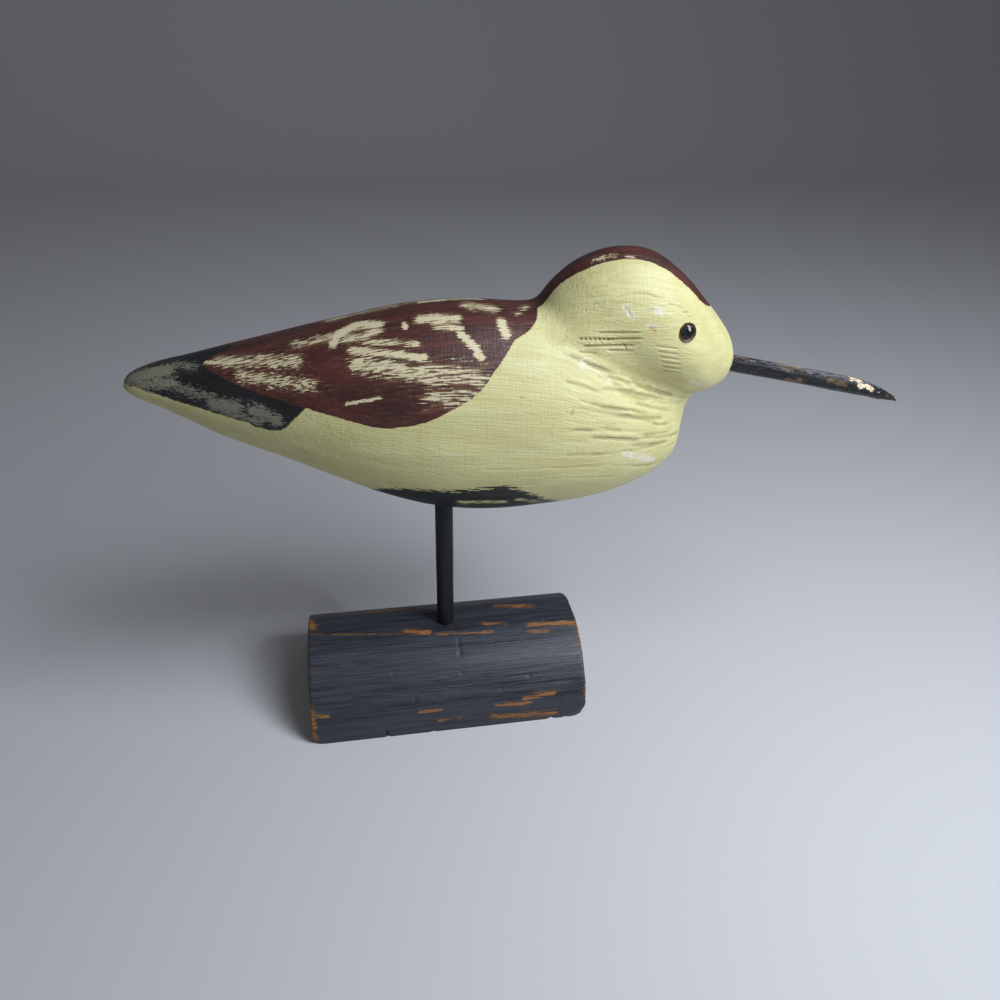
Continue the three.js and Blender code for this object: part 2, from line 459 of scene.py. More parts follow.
bpy.ops.object.select_all(action="DESELECT")
bpy.ops.mesh.primitive_cylinder_add(
    vertices=160,
    radius=base_radius,
    depth=base_length,
    location=(base_middle, 0, 0),
    rotation=(0, math.pi / 2, 0),
)
base = bpy.context.object
base.name = "half_round_base"
write_place_into_mesh(base)
bpy.ops.object.mode_set(mode="EDIT")
bpy.ops.mesh.select_all(action="SELECT")
bpy.ops.mesh.bisect(plane_co=(0, 0, 0), plane_no=(0, 0, 1), use_fill=True, clear_inner=True)
bpy.ops.mesh.select_all(action="SELECT")
bpy.ops.mesh.bisect(plane_co=(0, 0, base_high[2]), plane_no=(0, 0, 1), use_fill=True, clear_outer=True)
bpy.ops.mesh.select_mode(type="EDGE")
bpy.ops.mesh.select_all(action="DESELECT")
block = bmesh.from_edit_mesh(base.data)
for edge in block.edges:
    first, last = edge.verts
    edge.select = abs(first.co.x - last.co.x) < 0.01 * MM and len(edge.link_faces) == 2
bmesh.update_edit_mesh(base.data)
bpy.ops.mesh.bevel(offset=end_bevel, segments=3, profile=0.6)
bpy.ops.object.mode_set(mode="OBJECT")
finish_with(base, "REMESH", mode="VOXEL", voxel_size=0.6 * MM, use_smooth_shade=True)
print("base:", len(base.data.polygons), "faces")

# %% [markdown]
# The base was planed by hand and has been knocked about. The plane left long shallow flats, the
# fibres show as fine lines along it, the lower front corners are worn round, and a short split and a
# chip cut into the lower front edge. The underside stays flat, so that it still stands true.

# %% Mark the base with plane, split and chips
base_reach = base_high[0] / MM
split_line = [(-26.0, -28.3, 5.5), (-25.2, -28.7, 3.0), (-24.6, -28.9, 0.0)]
chip_places = [((36.0, -28.9, 0.0), 1.0, 0.8), ((41.5, -28.9, 0.0), 0.7, 0.4), ((-8.0, -28.9, 0.0), 0.8, 0.4)]
worn_corners = [((base_reach, -28.9, 0.0), 3.2, 1.7), ((-51.5, -28.9, 0.0), 2.4, 0.9)]
worn_corners += [((base_reach, 28.9, 0.0), 2.6, 1.0), ((-51.5, 28.9, 0.0), 2.6, 1.1)]

points = read_points(base)
normals = read_normals(base)
around = np.arctan2(points[:, 2], -points[:, 1]) * base_radius / MM
along_skin = np.column_stack([points[:, 0], around, np.hypot(points[:, 1], points[:, 2])])
flats = 0.22 * (noise_at(along_skin, (70, 6.5, 40), 3) - 1) / 2
fibres = 0.07 * (noise_at(along_skin, (24, 1.5, 6), 4) - 1) / 2
dents = -0.25 * smooth_step(noise_at(points, (3.5, 3.5, 3.5), 5), 0.72, 1.0)
gap, share = off_line(points, split_line)
split = -0.9 * np.exp(-((gap / 0.45) ** 2)) * smooth_step(share, 0.0, 0.7)
standing = smooth_step(points[:, 2], 0.0, 0.8)
points += normals * ((flats + fibres + dents) * standing + split)[:, None]
for place_at, size, depth in chip_places + worn_corners:
    inward = np.array([-np.sign(place_at[0]) * (abs(place_at[0]) > 48), -np.sign(place_at[1]), 0.0])
    closeness = np.exp(-((np.linalg.norm(points - place_at, axis=1) / size) ** 2))
    points += closeness[:, None] * depth * inward / np.linalg.norm(inward)
points[:, 2] = np.clip(points[:, 2], 0.0, None)
write_points(base, points)
print("plane marks up to", round(float(-(flats + fibres).min()), 2), "mm deep")

# %% [markdown]
# Handling has rubbed the dark paint off along the two long arrises, at the ends and low on the front,
# down to orange-brown wood. Each worn place is a short line on the base with a width and a strength.
# Their sum, with a little more along every sharp edge, is stored as `rub`.

# %% Say where the base is rubbed
base_wear = [
    ([(20, 6, 28.2), (34, 3.5, 28.3)], 1.7, 0.62),
    ([(14, -4, 28.3), (22.5, -5.4, 28.2)], 0.9, 0.75),
    ([(31, -7, 28.1), (47.5, -8, 27.8)], 1.2, 0.85),
    ([(30.5, -10, 27.1), (38, -10.6, 26.8)], 0.8, 0.6),
    ([(-15.5, -4.6, 28.3), (-7, -6.2, 28.2)], 1.3, 1.0),
    ([(-4, -7.2, 28), (17, -8.7, 27.6)], 0.8, 0.72),
    ([(-51, 8, 27.5), (-49.5, 3, 28.3)], 2.2, 0.8),
    ([(-50.5, -1.5, 28.3), (-30, -4.2, 28.3), (-17, -5.7, 28.3)], 0.35, 0.8),
    ([(26, -27, 10.2), (37, -26.7, 11)], 1.1, 0.75),
    ([(15, -27.6, 8.7), (29, -27.6, 8)], 1.0, 0.66),
    ([(14, -28.6, 3.8), (37, -28.8, 2.8)], 1.8, 0.6),
    ([(-13, -27.4, 9.2), (-5, -27.6, 8.8)], 0.7, 0.66),
    ([(-5.5, -28.5, 5), (2, -28.5, 5)], 1.2, 0.55),
    ([(-51.5, -25.5, 13), (-51, -28, 7), (-51.5, -28.5, 1)], 2.0, 0.8),
    ([(-50, -26, 12), (-45.5, -26.8, 11)], 1.2, 0.7),
    ([(49.3, -7, 28), (49.3, -14, 25.2), (49.3, -20, 21)], 0.8, 0.8),
    ([(49.3, -26, 12.5), (49.3, -27.6, 8.6)], 0.8, 0.8),
    ([(-30, 12, 26.3), (-12, 11, 26.7)], 1.4, 0.7),
    ([(5, 24, 16), (26, 24.5, 15.4)], 1.4, 0.6),
    ([(-44, 27.5, 8.8), (-30, 27.9, 7.4)], 1.6, 0.7),
]


def near_marks(points, marks):
    """How strongly drawn marks, each a line with a width and a strength, cover every point."""
    total = np.zeros(len(points))
    for line, width, strength in marks:
        gap, share = off_line(points, smooth_curve(line) if len(line) > 2 else line)
        total = np.maximum(total, strength * np.exp(-((gap / width) ** 2)))
    return total


from_end = np.minimum(base_reach - points[:, 0], points[:, 0] - base_low[0] / MM)
edge_rub = 0.55 * np.exp(-((from_end / 0.7) ** 2)) * smooth_step(noise_at(points, (4, 4, 4), 8), -0.4, 0.8)
store(base, "rub", np.maximum(near_marks(points, base_wear), edge_rub))
store(base, "grain", points)
pick_only(base)
bpy.ops.object.shade_smooth_by_angle(angle=math.radians(50))
print("worn places on the base:", len(base_wear))

# %% [markdown]
# ### Blue-black stain
#
# The stain is nearly black, with a cold blue-grey sheen where it takes the light. It was brushed on
# lengthwise, so both its colour and its gloss change in long streaks. Where it is rubbed through,
# the wood shows orange at the heart of the worn place and dull brown around it.

# %% Mix the base's stain
def new_finish(name, **values):
    """Make a material and give back its tree and its shader, with plain values already set."""
    material = bpy.data.materials.new(name)
    material.use_nodes = True
    tree = material.node_tree
    shader = tree.nodes["Principled BSDF"]
    for title, value in values.items():
        shader.inputs[title.replace("_", " ")].default_value = value
    return material, tree, shader


def raise_surface(tree, shader, height, depth_mm, strength=1.0):
    """Give a finish relief that is too fine for the mesh."""
    inputs = {"Height": height, "Distance": depth_mm * MM, "Strength": strength}
    bump = place(tree, "ShaderNodeBump", inputs)
    tree.links.new(bump.outputs["Normal"], shader.inputs["Normal"])


base_finish, tree, shader = new_finish("blue_black_stain", Specular_IOR_Level=0.5)
grain = read_vector(tree, "grain")
rub = read_value(tree, "rub")
long_streak = use_effect(tree, streaks, {"Grain": grain, "Length": 45.0, "Width": 2.2, "Seed": 1.0}, "Streak")
fine_streak = use_effect(tree, streaks, {"Grain": grain, "Length": 14.0, "Width": 0.45, "Seed": 5.0}, "Streak")
both = calc(
    tree, "ADD", calc(tree, "MULTIPLY", long_streak, 0.55), calc(tree, "MULTIPLY", fine_streak, 0.45)
)
stain = lay_over(tree, both, swatch(30, 32, 38), swatch(62, 66, 78))
dull = use_effect(
    tree,
    rubbed,
    {"Grain": grain, "Rub": calc(tree, "ADD", rub, 0.16), "Length": 9.0, "Width": 0.7, "Softness": 0.2},
    "Mask",
)
bright = use_effect(
    tree,
    rubbed,
    {"Grain": grain, "Rub": calc(tree, "SUBTRACT", rub, 0.1), "Length": 7.0, "Width": 0.5, "Softness": 0.15},
    "Mask",
)
stain = lay_over(tree, calc(tree, "MULTIPLY", dull, 0.75), stain, swatch(84, 66, 50))
stain = lay_over(tree, bright, stain, swatch(158, 102, 52))
tree.links.new(stain, shader.inputs["Base Color"])
gloss = ease(tree, fine_streak, 0.0, 1.0, 0.36, 0.5)
tree.links.new(calc(tree, "ADD", gloss, calc(tree, "MULTIPLY", dull, 0.2)), shader.inputs["Roughness"])
raise_surface(tree, shader, calc(tree, "SUBTRACT", both, calc(tree, "MULTIPLY", dull, 0.5)), 0.12)
base.data.materials.clear()
base.data.materials.append(base_finish)
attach(base, "root")
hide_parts("base_block")

# %% [markdown]
# ## The dowel
#
# A plain quarter-inch dowel, painted black, stands in a drilled hole in the base and goes up into the
# belly. A cylinder with a small bevel at each end gives it, and a remesh lets it carry the faint
# ridges of its long grain.

# %% Turn the dowel
rod_low, rod_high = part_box("support_rod")
rod_radius = (rod_high[1] - rod_low[1]) / 2
rod_middle = (Vector(rod_low) + Vector(rod_high)) / 2

bpy.ops.object.select_all(action="DESELECT")
bpy.ops.mesh.primitive_cylinder_add(
    vertices=64, radius=rod_radius, depth=rod_high[2] - rod_low[2], location=rod_middle
)
rod = bpy.context.object
rod.name = "black_dowel"
write_place_into_mesh(rod)
bpy.ops.object.mode_set(mode="EDIT")
bpy.ops.mesh.select_mode(type="EDGE")
bpy.ops.mesh.select_all(action="DESELECT")
stick = bmesh.from_edit_mesh(rod.data)
for edge in stick.edges:
    edge.select = abs(edge.verts[0].co.z - edge.verts[1].co.z) < 0.01 * MM
bmesh.update_edit_mesh(rod.data)
bpy.ops.mesh.bevel(offset=0.5 * MM, segments=3)
bpy.ops.object.mode_set(mode="OBJECT")
finish_with(rod, "REMESH", mode="VOXEL", voxel_size=0.3 * MM, use_smooth_shade=True)

points = read_points(rod)
normals = read_normals(rod)
ridges = 0.05 * noise_at(points, (0.9, 0.9, 18), 11) + 0.04 * noise_at(points, (3, 3, 9), 12)
points += normals * (ridges - 0.04)[:, None]
write_points(rod, points)
store(rod, "grain", points[:, [2, 0, 1]])
print("dowel:", len(rod.data.polygons), "faces")

# %% Brush the dowel black
rod_finish, tree, shader = new_finish("dowel_black", Specular_IOR_Level=0.4)
grain = read_vector(tree, "grain")
fine_streak = use_effect(tree, streaks, {"Grain": grain, "Length": 12.0, "Width": 0.35, "Seed": 2.0}, "Streak")
black = lay_over(tree, fine_streak, swatch(9, 10, 11), swatch(22, 23, 25))
tree.links.new(black, shader.inputs["Base Color"])
tree.links.new(ease(tree, fine_streak, 0.0, 1.0, 0.45, 0.62), shader.inputs["Roughness"])
raise_surface(tree, shader, fine_streak, 0.05)
rod.data.materials.append(rod_finish)
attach(rod, "root")
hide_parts("support_rod")

# %% [markdown]
# ## The bird
#
# The body and head were carved from one piece of wood with a knife and a rasp, then painted by hand.
# The measured solid has the right outline but large flat facets and drilled seats. A copy of it is
# merged, its seats are capped, and a voxel remesh gives it an even skin. A few rounds of smoothing
# take the facets away, held back along the rim of the flat face, which the knife left crisp.

# %% Take the bird's form
def copy_of_node(node, name):
    """A new object that holds a merged copy of a measured solid's mesh."""
    piece = bpy.data.objects.new(name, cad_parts[node].data.copy())
    bpy.context.scene.collection.objects.link(piece)
    piece.data.materials.clear()
    pick_only(piece)
    bpy.ops.object.mode_set(mode="EDIT")
    bpy.ops.mesh.select_all(action="SELECT")
    bpy.ops.mesh.remove_doubles(threshold=0.005 * MM)
    bpy.ops.object.mode_set(mode="OBJECT")
    return piece


eye_middle = np.array([74.2, 16.6, 144.7])
eye_axis = np.array([0.24, 1.0, 0.13])
eye_axis /= np.linalg.norm(eye_axis)
near_side = np.array([1.0, -1.0, 1.0])
far_side = np.array([1.0, 1.0, 1.0])
bill_root = np.array([95.0, 0.0, 128.1])
bill_droop = math.radians(12.7)
bill_axis = np.array([math.cos(bill_droop), 0.0, -math.sin(bill_droop)])
rod_seat = np.array([0.0, 0.0, 90.0])
seat_reach = 3.6
seats = [
    (eye_middle * near_side, eye_axis * near_side),
    (eye_middle * far_side, eye_axis * far_side),
    (bill_root, bill_axis),
    (rod_seat, np.array([0.0, 0.0, 1.0])),
]
seat_depths = [5.0, 5.0, 14.0, 30.0]


def in_seat(point, seat, depth):
    """Whether a point lies on the wall or floor of a drilled seat."""
    middle, axis = seat
    offset = np.array(point) / MM - middle
    height = offset @ axis
    return abs(height) < depth and np.linalg.norm(offset - height * axis) < seat_reach


bird = copy_of_node("bird_body", "painted_bird")
bpy.ops.object.mode_set(mode="EDIT")
bpy.ops.mesh.select_mode(type="FACE")
bpy.ops.mesh.select_all(action="DESELECT")
form = bmesh.from_edit_mesh(bird.data)
for face in form.faces:
    corners = [vertex.co for vertex in face.verts]
    face.select = any(
        all(in_seat(corner, seat, depth) for corner in corners) for seat, depth in zip(seats, seat_depths)
    )
bmesh.update_edit_mesh(bird.data)
bpy.ops.mesh.delete(type="FACE")
bpy.ops.mesh.select_all(action="SELECT")
bpy.ops.mesh.fill_holes(sides=0)
bpy.ops.object.mode_set(mode="OBJECT")
print("bird with its seats capped:", len(bird.data.polygons), "faces")

# %% Even the skin and smooth the facets away
skin_step = 1.0
face_low = np.array([94.0, 0.0, 124.0])
face_high = np.array([95.8, 0.0, 134.4])
face_half_width = 7.2
turns = np.linspace(0, 2 * math.pi, 25)[:, None]
face_rim = (face_low + face_high) / 2 + np.sin(turns) * (face_high - face_low) / 2
face_rim[:, 1] = face_half_width * np.cos(turns[:, 0])


def smooth_with(piece, share, rounds):
    """Smooth a piece, each point by its own share."""
    group = piece.vertex_groups.new(name="share")
    for index, amount in enumerate(share):
        if amount > 0.01:
            group.add([index], float(amount), "REPLACE")
    finish_with(piece, "SMOOTH", factor=0.5, iterations=rounds, vertex_group="share")
    piece.vertex_groups.clear()


finish_with(bird, "REMESH", mode="VOXEL", voxel_size=skin_step * MM, use_smooth_shade=True)
gap, share = off_line(read_points(bird), face_rim)
smooth_with(bird, smooth_step(gap, 0.8, 4.0), 10)
print("bird:", len(bird.data.polygons), "faces in an even skin")

# %% [markdown]
# ### Tool marks
#
# The bird was not sanded. The rasp left rows of short slits behind the eye, the knife left long
# slanting strokes over the neck and the breast, and under the cheek a gouge cut a hollow between the
# head and the breast. These marks need more points than the rest of the body, so the side with the
# deep cuts is subdivided once, and the cuts themselves once more.

# %% Give the marked places more points
def subdivide_where(piece, wanted, rounds):
    """Subdivide the faces whose middle passes a test, and smooth only the new finer patch."""
    middles = np.empty(3 * len(piece.data.polygons))
    piece.data.polygons.foreach_get("center", middles)
    chosen = wanted(middles.reshape(-1, 3) / MM)
    pick_only(piece)
    bpy.ops.object.mode_set(mode="EDIT")
    bpy.ops.mesh.select_mode(type="FACE")
    bpy.ops.mesh.select_all(action="DESELECT")
    bpy.ops.object.mode_set(mode="OBJECT")
    piece.data.polygons.foreach_set("select", chosen)
    bpy.ops.object.mode_set(mode="EDIT")
    bpy.ops.mesh.subdivide(number_cuts=1, ngon=False)
    bpy.ops.object.mode_set(mode="OBJECT")
    smooth_with(piece, wanted(read_points(piece)) * 1.0, rounds)


def on_marked_side(points):
    """The head, neck, breast and mantle on the near side."""
    x, y, z = points.T
    head_and_breast = (x > 30) | ((x > 2) & (z < 112) & (z > 95))
    mantle = (x > -74) & (z > 121.5 + 0.09 * np.abs(x + 18))
    from_face, share = off_line(points, face_rim)
    return (y < 0.5) & (head_and_breast & (z > 92) | mantle) & (from_face > 1.5)


def on_deep_cuts(points):
    """The rows of rasp slits behind and under the eye."""
    x, y, z = points.T
    behind_eye = (x > 38) & (x < 62) & (z > 138) & (z < 147)
    under_eye = (x > 62) & (x < 76) & (z > 130) & (z < 142.5)
    return (y < -5) & (behind_eye | under_eye)


subdivide_where(bird, on_marked_side, 2)
subdivide_where(bird, on_deep_cuts, 1)
print("bird:", len(bird.data.polygons), "faces after the finer patches")

# %% [markdown]
# Every mark is drawn in side view, as a line with x forward and z up, in millimetres. `press` lowers
# the points close to the line and raises a small lip on each side, because a rasp tooth pushes up the
# wood that it tears. A number of teeth breaks a line into a row of dashes.

# %% The gouge, the rasp and the knife
cheek_hollow = smooth_curve([(37, 142.5), (44, 139.5), (52, 135), (60, 130.3), (70, 125), (81, 119.5)])
rasp_slits = [
    ((45.3, 145.4), (60, 145.6), 0.34, 0.36, 0),
    ((39.4, 143.6), (52, 143.3), 0.42, 0.5, 9),
    ((48, 143.3), (60.5, 143.6), 0.38, 0.46, 0),
    ((40.8, 142.6), (55, 142.4), 0.3, 0.25, 7),
    ((40.8, 141.6), (59.2, 141.2), 0.4, 0.45, 0),
    ((53.9, 141.9), (55.3, 139.9), 0.3, 0.35, 0),
    ((49, 139.9), (58.2, 139.3), 0.36, 0.32, 0),
    ((39.7, 140.1), (46.6, 139), 0.34, 0.22, 0),
    ((43.2, 157.6), (49.2, 158.7), 0.28, 0.24, 6),
    ((49.2, 158.7), (59, 159.6), 0.3, 0.08, 0),
    ((43.5, 153.3), (48.2, 154.2), 0.3, 0.24, 5),
    ((48.2, 154.2), (54, 154.4), 0.3, 0.1, 0),
    ((41.2, 151.5), (45.6, 152.2), 0.3, 0.24, 4),
    ((42, 155.2), (50, 156.3), 0.28, 0.1, 0),
    ((53.3, 153.5), (54.5, 152.1), 0.32, 0.28, 0),
    ((54.5, 152.1), (55.7, 150.1), 0.32, 0.3, 0),
    ((66.6, 153.7), (69.7, 153.1), 0.3, 0.26, 0),
    ((69.7, 153.1), (73, 151.7), 0.28, 0.2, 0),
    ((71.4, 151.1), (74.3, 150.4), 0.28, 0.2, 0),
    ((73.9, 149.7), (75.8, 148.8), 0.28, 0.16, 0),
    ((36.6, 122.7), (37.5, 126.1), 0.34, 0.22, 0),
    ((37.6, 125.2), (42.8, 124.3), 0.34, 0.18, 0),
    ((38.2, 123.7), (42.9, 122.5), 0.3, 0.15, 0),
    ((8.6, 106.7), (34, 105.6), 0.4, 0.14, 0),
    ((30, 105.7), (52, 104), 0.4, 0.16, 0),
    ((50, 104.2), (69, 98.9), 0.4, 0.14, 0),
    ((34.5, 101.3), (55.8, 98.1), 0.4, 0.12, 0),
]
rasp_slits += [
    ((63.6 + 0.9 * row, 141.2 - 1.85 * row), (71.8 + 0.6 * row, 139.9 - 1.85 * row), 0.34, 0.24, 0)
    for row in range(6)
]
wavy_grain = smooth_curve([(50, 155.6), (55.7, 156.8), (59.7, 156.9), (62.8, 155.9), (67.7, 155.3), (72, 154)])


def press(view, heights, line, width, depth, teeth=0):
    """Press one line into the heights of points that are given in side view."""
    line = np.asarray(line, float)
    margin = 4 * width
    close = np.all((view > line.min(axis=0) - margin) & (view < line.max(axis=0) + margin), axis=1)
    gap, share = off_line(view[close], line)
    taper = smooth_step(share, 0.0, 0.12) * smooth_step(1 - share, 0.0, 0.2)
    if teeth:
        taper = taper * (0.35 + 0.65 * smooth_step(np.cos(2 * math.pi * teeth * share), -0.3, 0.5))
    lip = 0.28 * np.exp(-(((gap - 1.9 * width) / (0.7 * width)) ** 2))
    heights[close] += depth * taper * (lip - np.exp(-((gap / width) ** 2)))


def hollow_height(x):
    """Height of the gouged hollow under the cheek, and of its run backwards along the body."""
    return np.interp(x, cheek_hollow[:, 0], cheek_hollow[:, 1])


def stroke_slope(x, z):
    """How steeply the knife strokes fall towards the front: steep under the cheek, level low down."""
    lowness = np.clip((hollow_height(x) - z) / 34, 0, 1)
    return -0.5 + 0.42 * lowness


def draw_knife_strokes(view, heights, seed, count):
    """Long slanting strokes over the neck and the breast."""
    chance = np.random.default_rng(seed)
    for _ in range(count):
        x = chance.uniform(33, 70)
        z = hollow_height(x) - 1.5 - 32 * chance.uniform(0, 1) ** 1.5
        length = chance.uniform(7, 22)
        slope = stroke_slope(x, z) + chance.normal(0, 0.03)
        bow = chance.uniform(-0.5, 0.5)
        line = [(x, z), (x + length / 2, z + slope * length / 2 + bow), (x + length, z + slope * length)]
        press(view, heights, smooth_curve(line, 4), chance.uniform(0.35, 0.75), chance.uniform(0.05, 0.2))


def draw_fine_rasp(view, heights, seed, count):
    """Short fine scratches, nearly level, all over the side of the head."""
    chance = np.random.default_rng(seed)
    for _ in range(count):
        x = chance.uniform(40, 84)
        z = chance.uniform(136, 162)
        length = chance.uniform(3, 10)
        slope = -0.016 * (x - 55) * smooth_step(z, 145.0, 155.0) - 0.12 * smooth_step(x, 60.0, 72.0)
        line = [(x, z), (x + length, z + slope * length)]
        press(view, heights, line, chance.uniform(0.28, 0.42), chance.uniform(0.03, 0.1))


def carving(points, normals):
    """Height that the tools add to or take from the skin at every point, in millimetres."""
    x, y, z = points.T
    view = points[:, [0, 2]]
    heights = np.zeros(len(points))
    near = y < 0
    for side, seed, strokes, scratches in ((near, 21, 95, 90), (~near, 22, 60, 50)):
        cuts = np.zeros(side.sum())
        draw_knife_strokes(view[side], cuts, seed, strokes)
        draw_fine_rasp(view[side], cuts, seed + 10, scratches)
        if seed == 21:
            for start, end, width, depth, teeth in rasp_slits:
                press(view[side], cuts, [start, end], width, depth, teeth)
            press(view[side], cuts, wavy_grain, 0.3, 0.16)
        heights[side] = cuts * smooth_step(np.abs(normals[side, 1]), 0.15, 0.5)
    return heights


def hollow_under_cheek(points, normals):
    """The broad gouged hollow between the head and the breast, on both sides."""
    x, y, z = points.T
    gap, share = off_line(points[:, [0, 2]], cheek_hollow)
    above = z > hollow_height(x)
    spread = np.where(above, 4.2, 6.0)
    depth = 2.3 * smooth_step(share, 0.05, 0.5) * (1 - 0.4 * smooth_step(share, 0.75, 1.0))
    return -depth * np.exp(-((gap / spread) ** 2)) * smooth_step(np.abs(normals[:, 1]), 0.2, 0.7)


def knife_flats(points):
    """Soft flats that the knife left all over the body."""
    broad = noise_at(points, (24, 9, 8), 31) + 0.5 * noise_at(points, (11, 5, 4.5), 32)
    fibres = noise_at(points, (26, 1.6, 1.7), 33)
    return 0.2 * (broad - 0.6) + 0.035 * fibres


# %% Carve the bird
points = read_points(bird)
points += read_normals(bird) * hollow_under_cheek(points, read_normals(bird))[:, None]
write_points(bird, points)
normals = read_normals(bird)
cut = carving(points, normals)
from_rim, share = off_line(points, face_rim)
points += normals * (knife_flats(points) * smooth_step(from_rim, 0.5, 5.0) + cut)[:, None]
write_points(bird, points)
print("deepest slit, mm:", round(float(-cut.min()), 2))

# %% [markdown]
# ### Seats for the eyes, the bill and the dowel
#
# The eyes, the bill and the dowel were set in drilled holes before the bird was painted. Each hole is
# cut by a short cylinder with a boolean, a hair wider than what goes in it, after the carving, so
# that its rim stays crisp.

# %% Drill the seats
def drill(piece, name, middle, axis, radius, depth):
    """Cut a round hole into a piece, from outside the surface down to a depth, in millimetres."""
    above = 6.0
    turn = Vector(axis).to_track_quat("Z", "Y").to_euler()
    centre = Vector((middle + axis * (above - depth) / 2) * MM)
    bpy.ops.object.select_all(action="DESELECT")
    bpy.ops.mesh.primitive_cylinder_add(
        vertices=48, radius=radius * MM, depth=(above + depth) * MM, location=centre, rotation=turn
    )
    drill_bit = bpy.context.object
    drill_bit.name = name
    write_place_into_mesh(drill_bit)
    finish_with(piece, "BOOLEAN", operation="DIFFERENCE", object=drill_bit, solver="EXACT")
    bpy.data.objects.remove(drill_bit)


eye_seat_radius = 3.15
drill(bird, "eye_drill", eye_middle * near_side, eye_axis * near_side, eye_seat_radius, 2.0)
drill(bird, "eye_drill", eye_middle * far_side, eye_axis * far_side, eye_seat_radius, 2.0)
drill(bird, "bill_drill", bill_root, bill_axis, 3.3, 9.3)
drill(bird, "rod_drill", rod_seat, np.array([0.0, 0.0, -1.0]), 3.3, 12.3)
pick_only(bird)
bpy.ops.object.shade_smooth_by_angle(angle=math.radians(55))
print("bird with its seats:", len(bird.data.polygons), "faces")

# %% [markdown]
# ### Where each paint ends
#
# Four paints meet on the bird: cream all over, black on the tail and under the belly, and dark red on
# the back and along the crown. Each border is a smooth curve drawn in side view or in plan. A border
# turns into a distance over the skin, in millimetres and positive inside, by dividing the height over
# the curve by how fast that height changes along the surface. The material then only has to ask where
# the distance passes zero, so the border stays crisp however fine the picture is.

# %% Distance from a painted border
back_border = [(-76, 138), (-72, 137.2), (-64, 134.2), (-50, 129.7), (-35, 125.8), (-24, 122.7)]
back_border += [(-17.5, 122.1), (-11, 122.9), (-5, 124.8), (4.5, 129.4), (9.5, 132.9), (13, 136.9)]
back_border += [(16.7, 140.6), (20.2, 144.2), (24.7, 146), (27.8, 148), (29.3, 150.5), (30, 153)]
crown_border = [(14, 7), (22, 6.4), (26, 5.6), (29.3, 4.7), (33, 4), (37, 4.2), (43, 5.6), (55, 6.7)]
crown_border += [(62, 7.5), (68, 8.5), (74, 9.2), (79, 9.2), (82.5, 8.2), (85, 5.5), (86.6, 2), (88, -2)]
tail_border = [(-97, 131.3), (-91.5, 131), (-87.5, 130), (-83, 128.7), (-75.5, 126.7), (-66, 123.9)]
tail_border += [(-60.5, 122.4), (-55.5, 120.5), (-50, 119.8), (-44, 120.2)]
belly_border = [(-27, 92.5), (-22, 97), (-17, 98.2), (-10, 98.4), (2, 98), (10, 98.7), (17.5, 98.9)]
belly_border += [(22, 97.3), (26, 94.5), (31, 90.8), (36, 86.8), (40, 81), (46, 78)]
lobe_tip_x = -72.0
lobe_notch_x = -62.0
lobe_half_width = 6.0
back_front_x = 30.5
crown_floor_z = 142.0
tail_end_x = -49.8
tail_end_z = 120.2


def over_skin(height, slope, normals):
    """Turn a height over a border, with its slope in space, into a distance over the skin."""
    along = slope - (slope * normals).sum(axis=1)[:, None] * normals
    return height / np.maximum(np.linalg.norm(along, axis=1), 0.2)


def border_curve(places, x):
    """A border's height and slope at each x."""
    curve = smooth_curve(places)
    height = np.interp(x, curve[:, 0], curve[:, 1])
    ahead = np.interp(x + 0.5, curve[:, 0], curve[:, 1])
    behind = np.interp(x - 0.5, curve[:, 0], curve[:, 1])
    return height, ahead - behind


def slopes(x_slope, y_slope, z_slope, count):
    """One slope in space for every point."""
    parts = [np.broadcast_to(np.asarray(part, float), (count,)) for part in (x_slope, y_slope, z_slope)]
    return np.column_stack(parts)


def both_inside(first, second, rounding=0.8):
    """The overlap of two painted areas, with its corners rounded."""
    share = np.clip(0.5 + 0.5 * (second - first) / rounding, 0, 1)
    return second * (1 - share) + first * share - rounding * share * (1 - share)


def red_area(points, normals):
    """The back with its two lobes, joined to the stripe along the crown."""
    x, y, z = points.T
    count = len(points)
    edge, rise = border_curve(back_border, x)
    back = over_skin(z - edge, slopes(-rise, 0, 1, count), normals)
    notch_slope = (lobe_notch_x - lobe_tip_x) / lobe_half_width
    within = np.abs(y) < lobe_half_width
    rear = lobe_notch_x - notch_slope * np.minimum(np.abs(y), lobe_half_width)
    lobes = over_skin(x - rear, slopes(1, np.where(within, notch_slope * np.sign(y), 0), 0, count), normals)
    back = both_inside(both_inside(back, lobes, 2.0), back_front_x - x)
    width, widening = border_curve(crown_border, x)
    crown = over_skin(width - np.abs(y), slopes(widening, -np.sign(y), 0, count), normals)
    crown = np.minimum(np.minimum(crown, z - crown_floor_z), x - crown_border[0][0])
    return np.maximum(back, crown)


def tail_area(points, normals):
    """The black on top of the tail, with a sliver of cream left on the far edge of its tip."""
    x, y, z = points.T
    count = len(points)
    edge, rise = border_curve(tail_border, x)
    sides = over_skin(z - edge, slopes(-rise, 0, 1, count), normals)
    front = over_skin(tail_end_x + (z - tail_end_z) - x, slopes(-1, 0, 1, count), normals)
    sliver = 0.8 + 0.6 * (x + 96) - y
    return both_inside(both_inside(sides, front, 2.0), sliver)


def belly_area(points, normals):
    """The black under the belly, round the dowel."""
    x, y, z = points.T
    edge, rise = border_curve(belly_border, x)
    return over_skin(edge - z, slopes(rise, 0, -1, len(points)), normals)


# %% [markdown]
# ### Which way the grain runs
#
# Brush, rasp and wood grain all run the same way on this bird: level on the head, slanting down under
# the cheek, and drawn together towards the tail. `grain` bends with them. It is the height of a point
# between two guide curves, one along the back and the hollow, one along the belly.

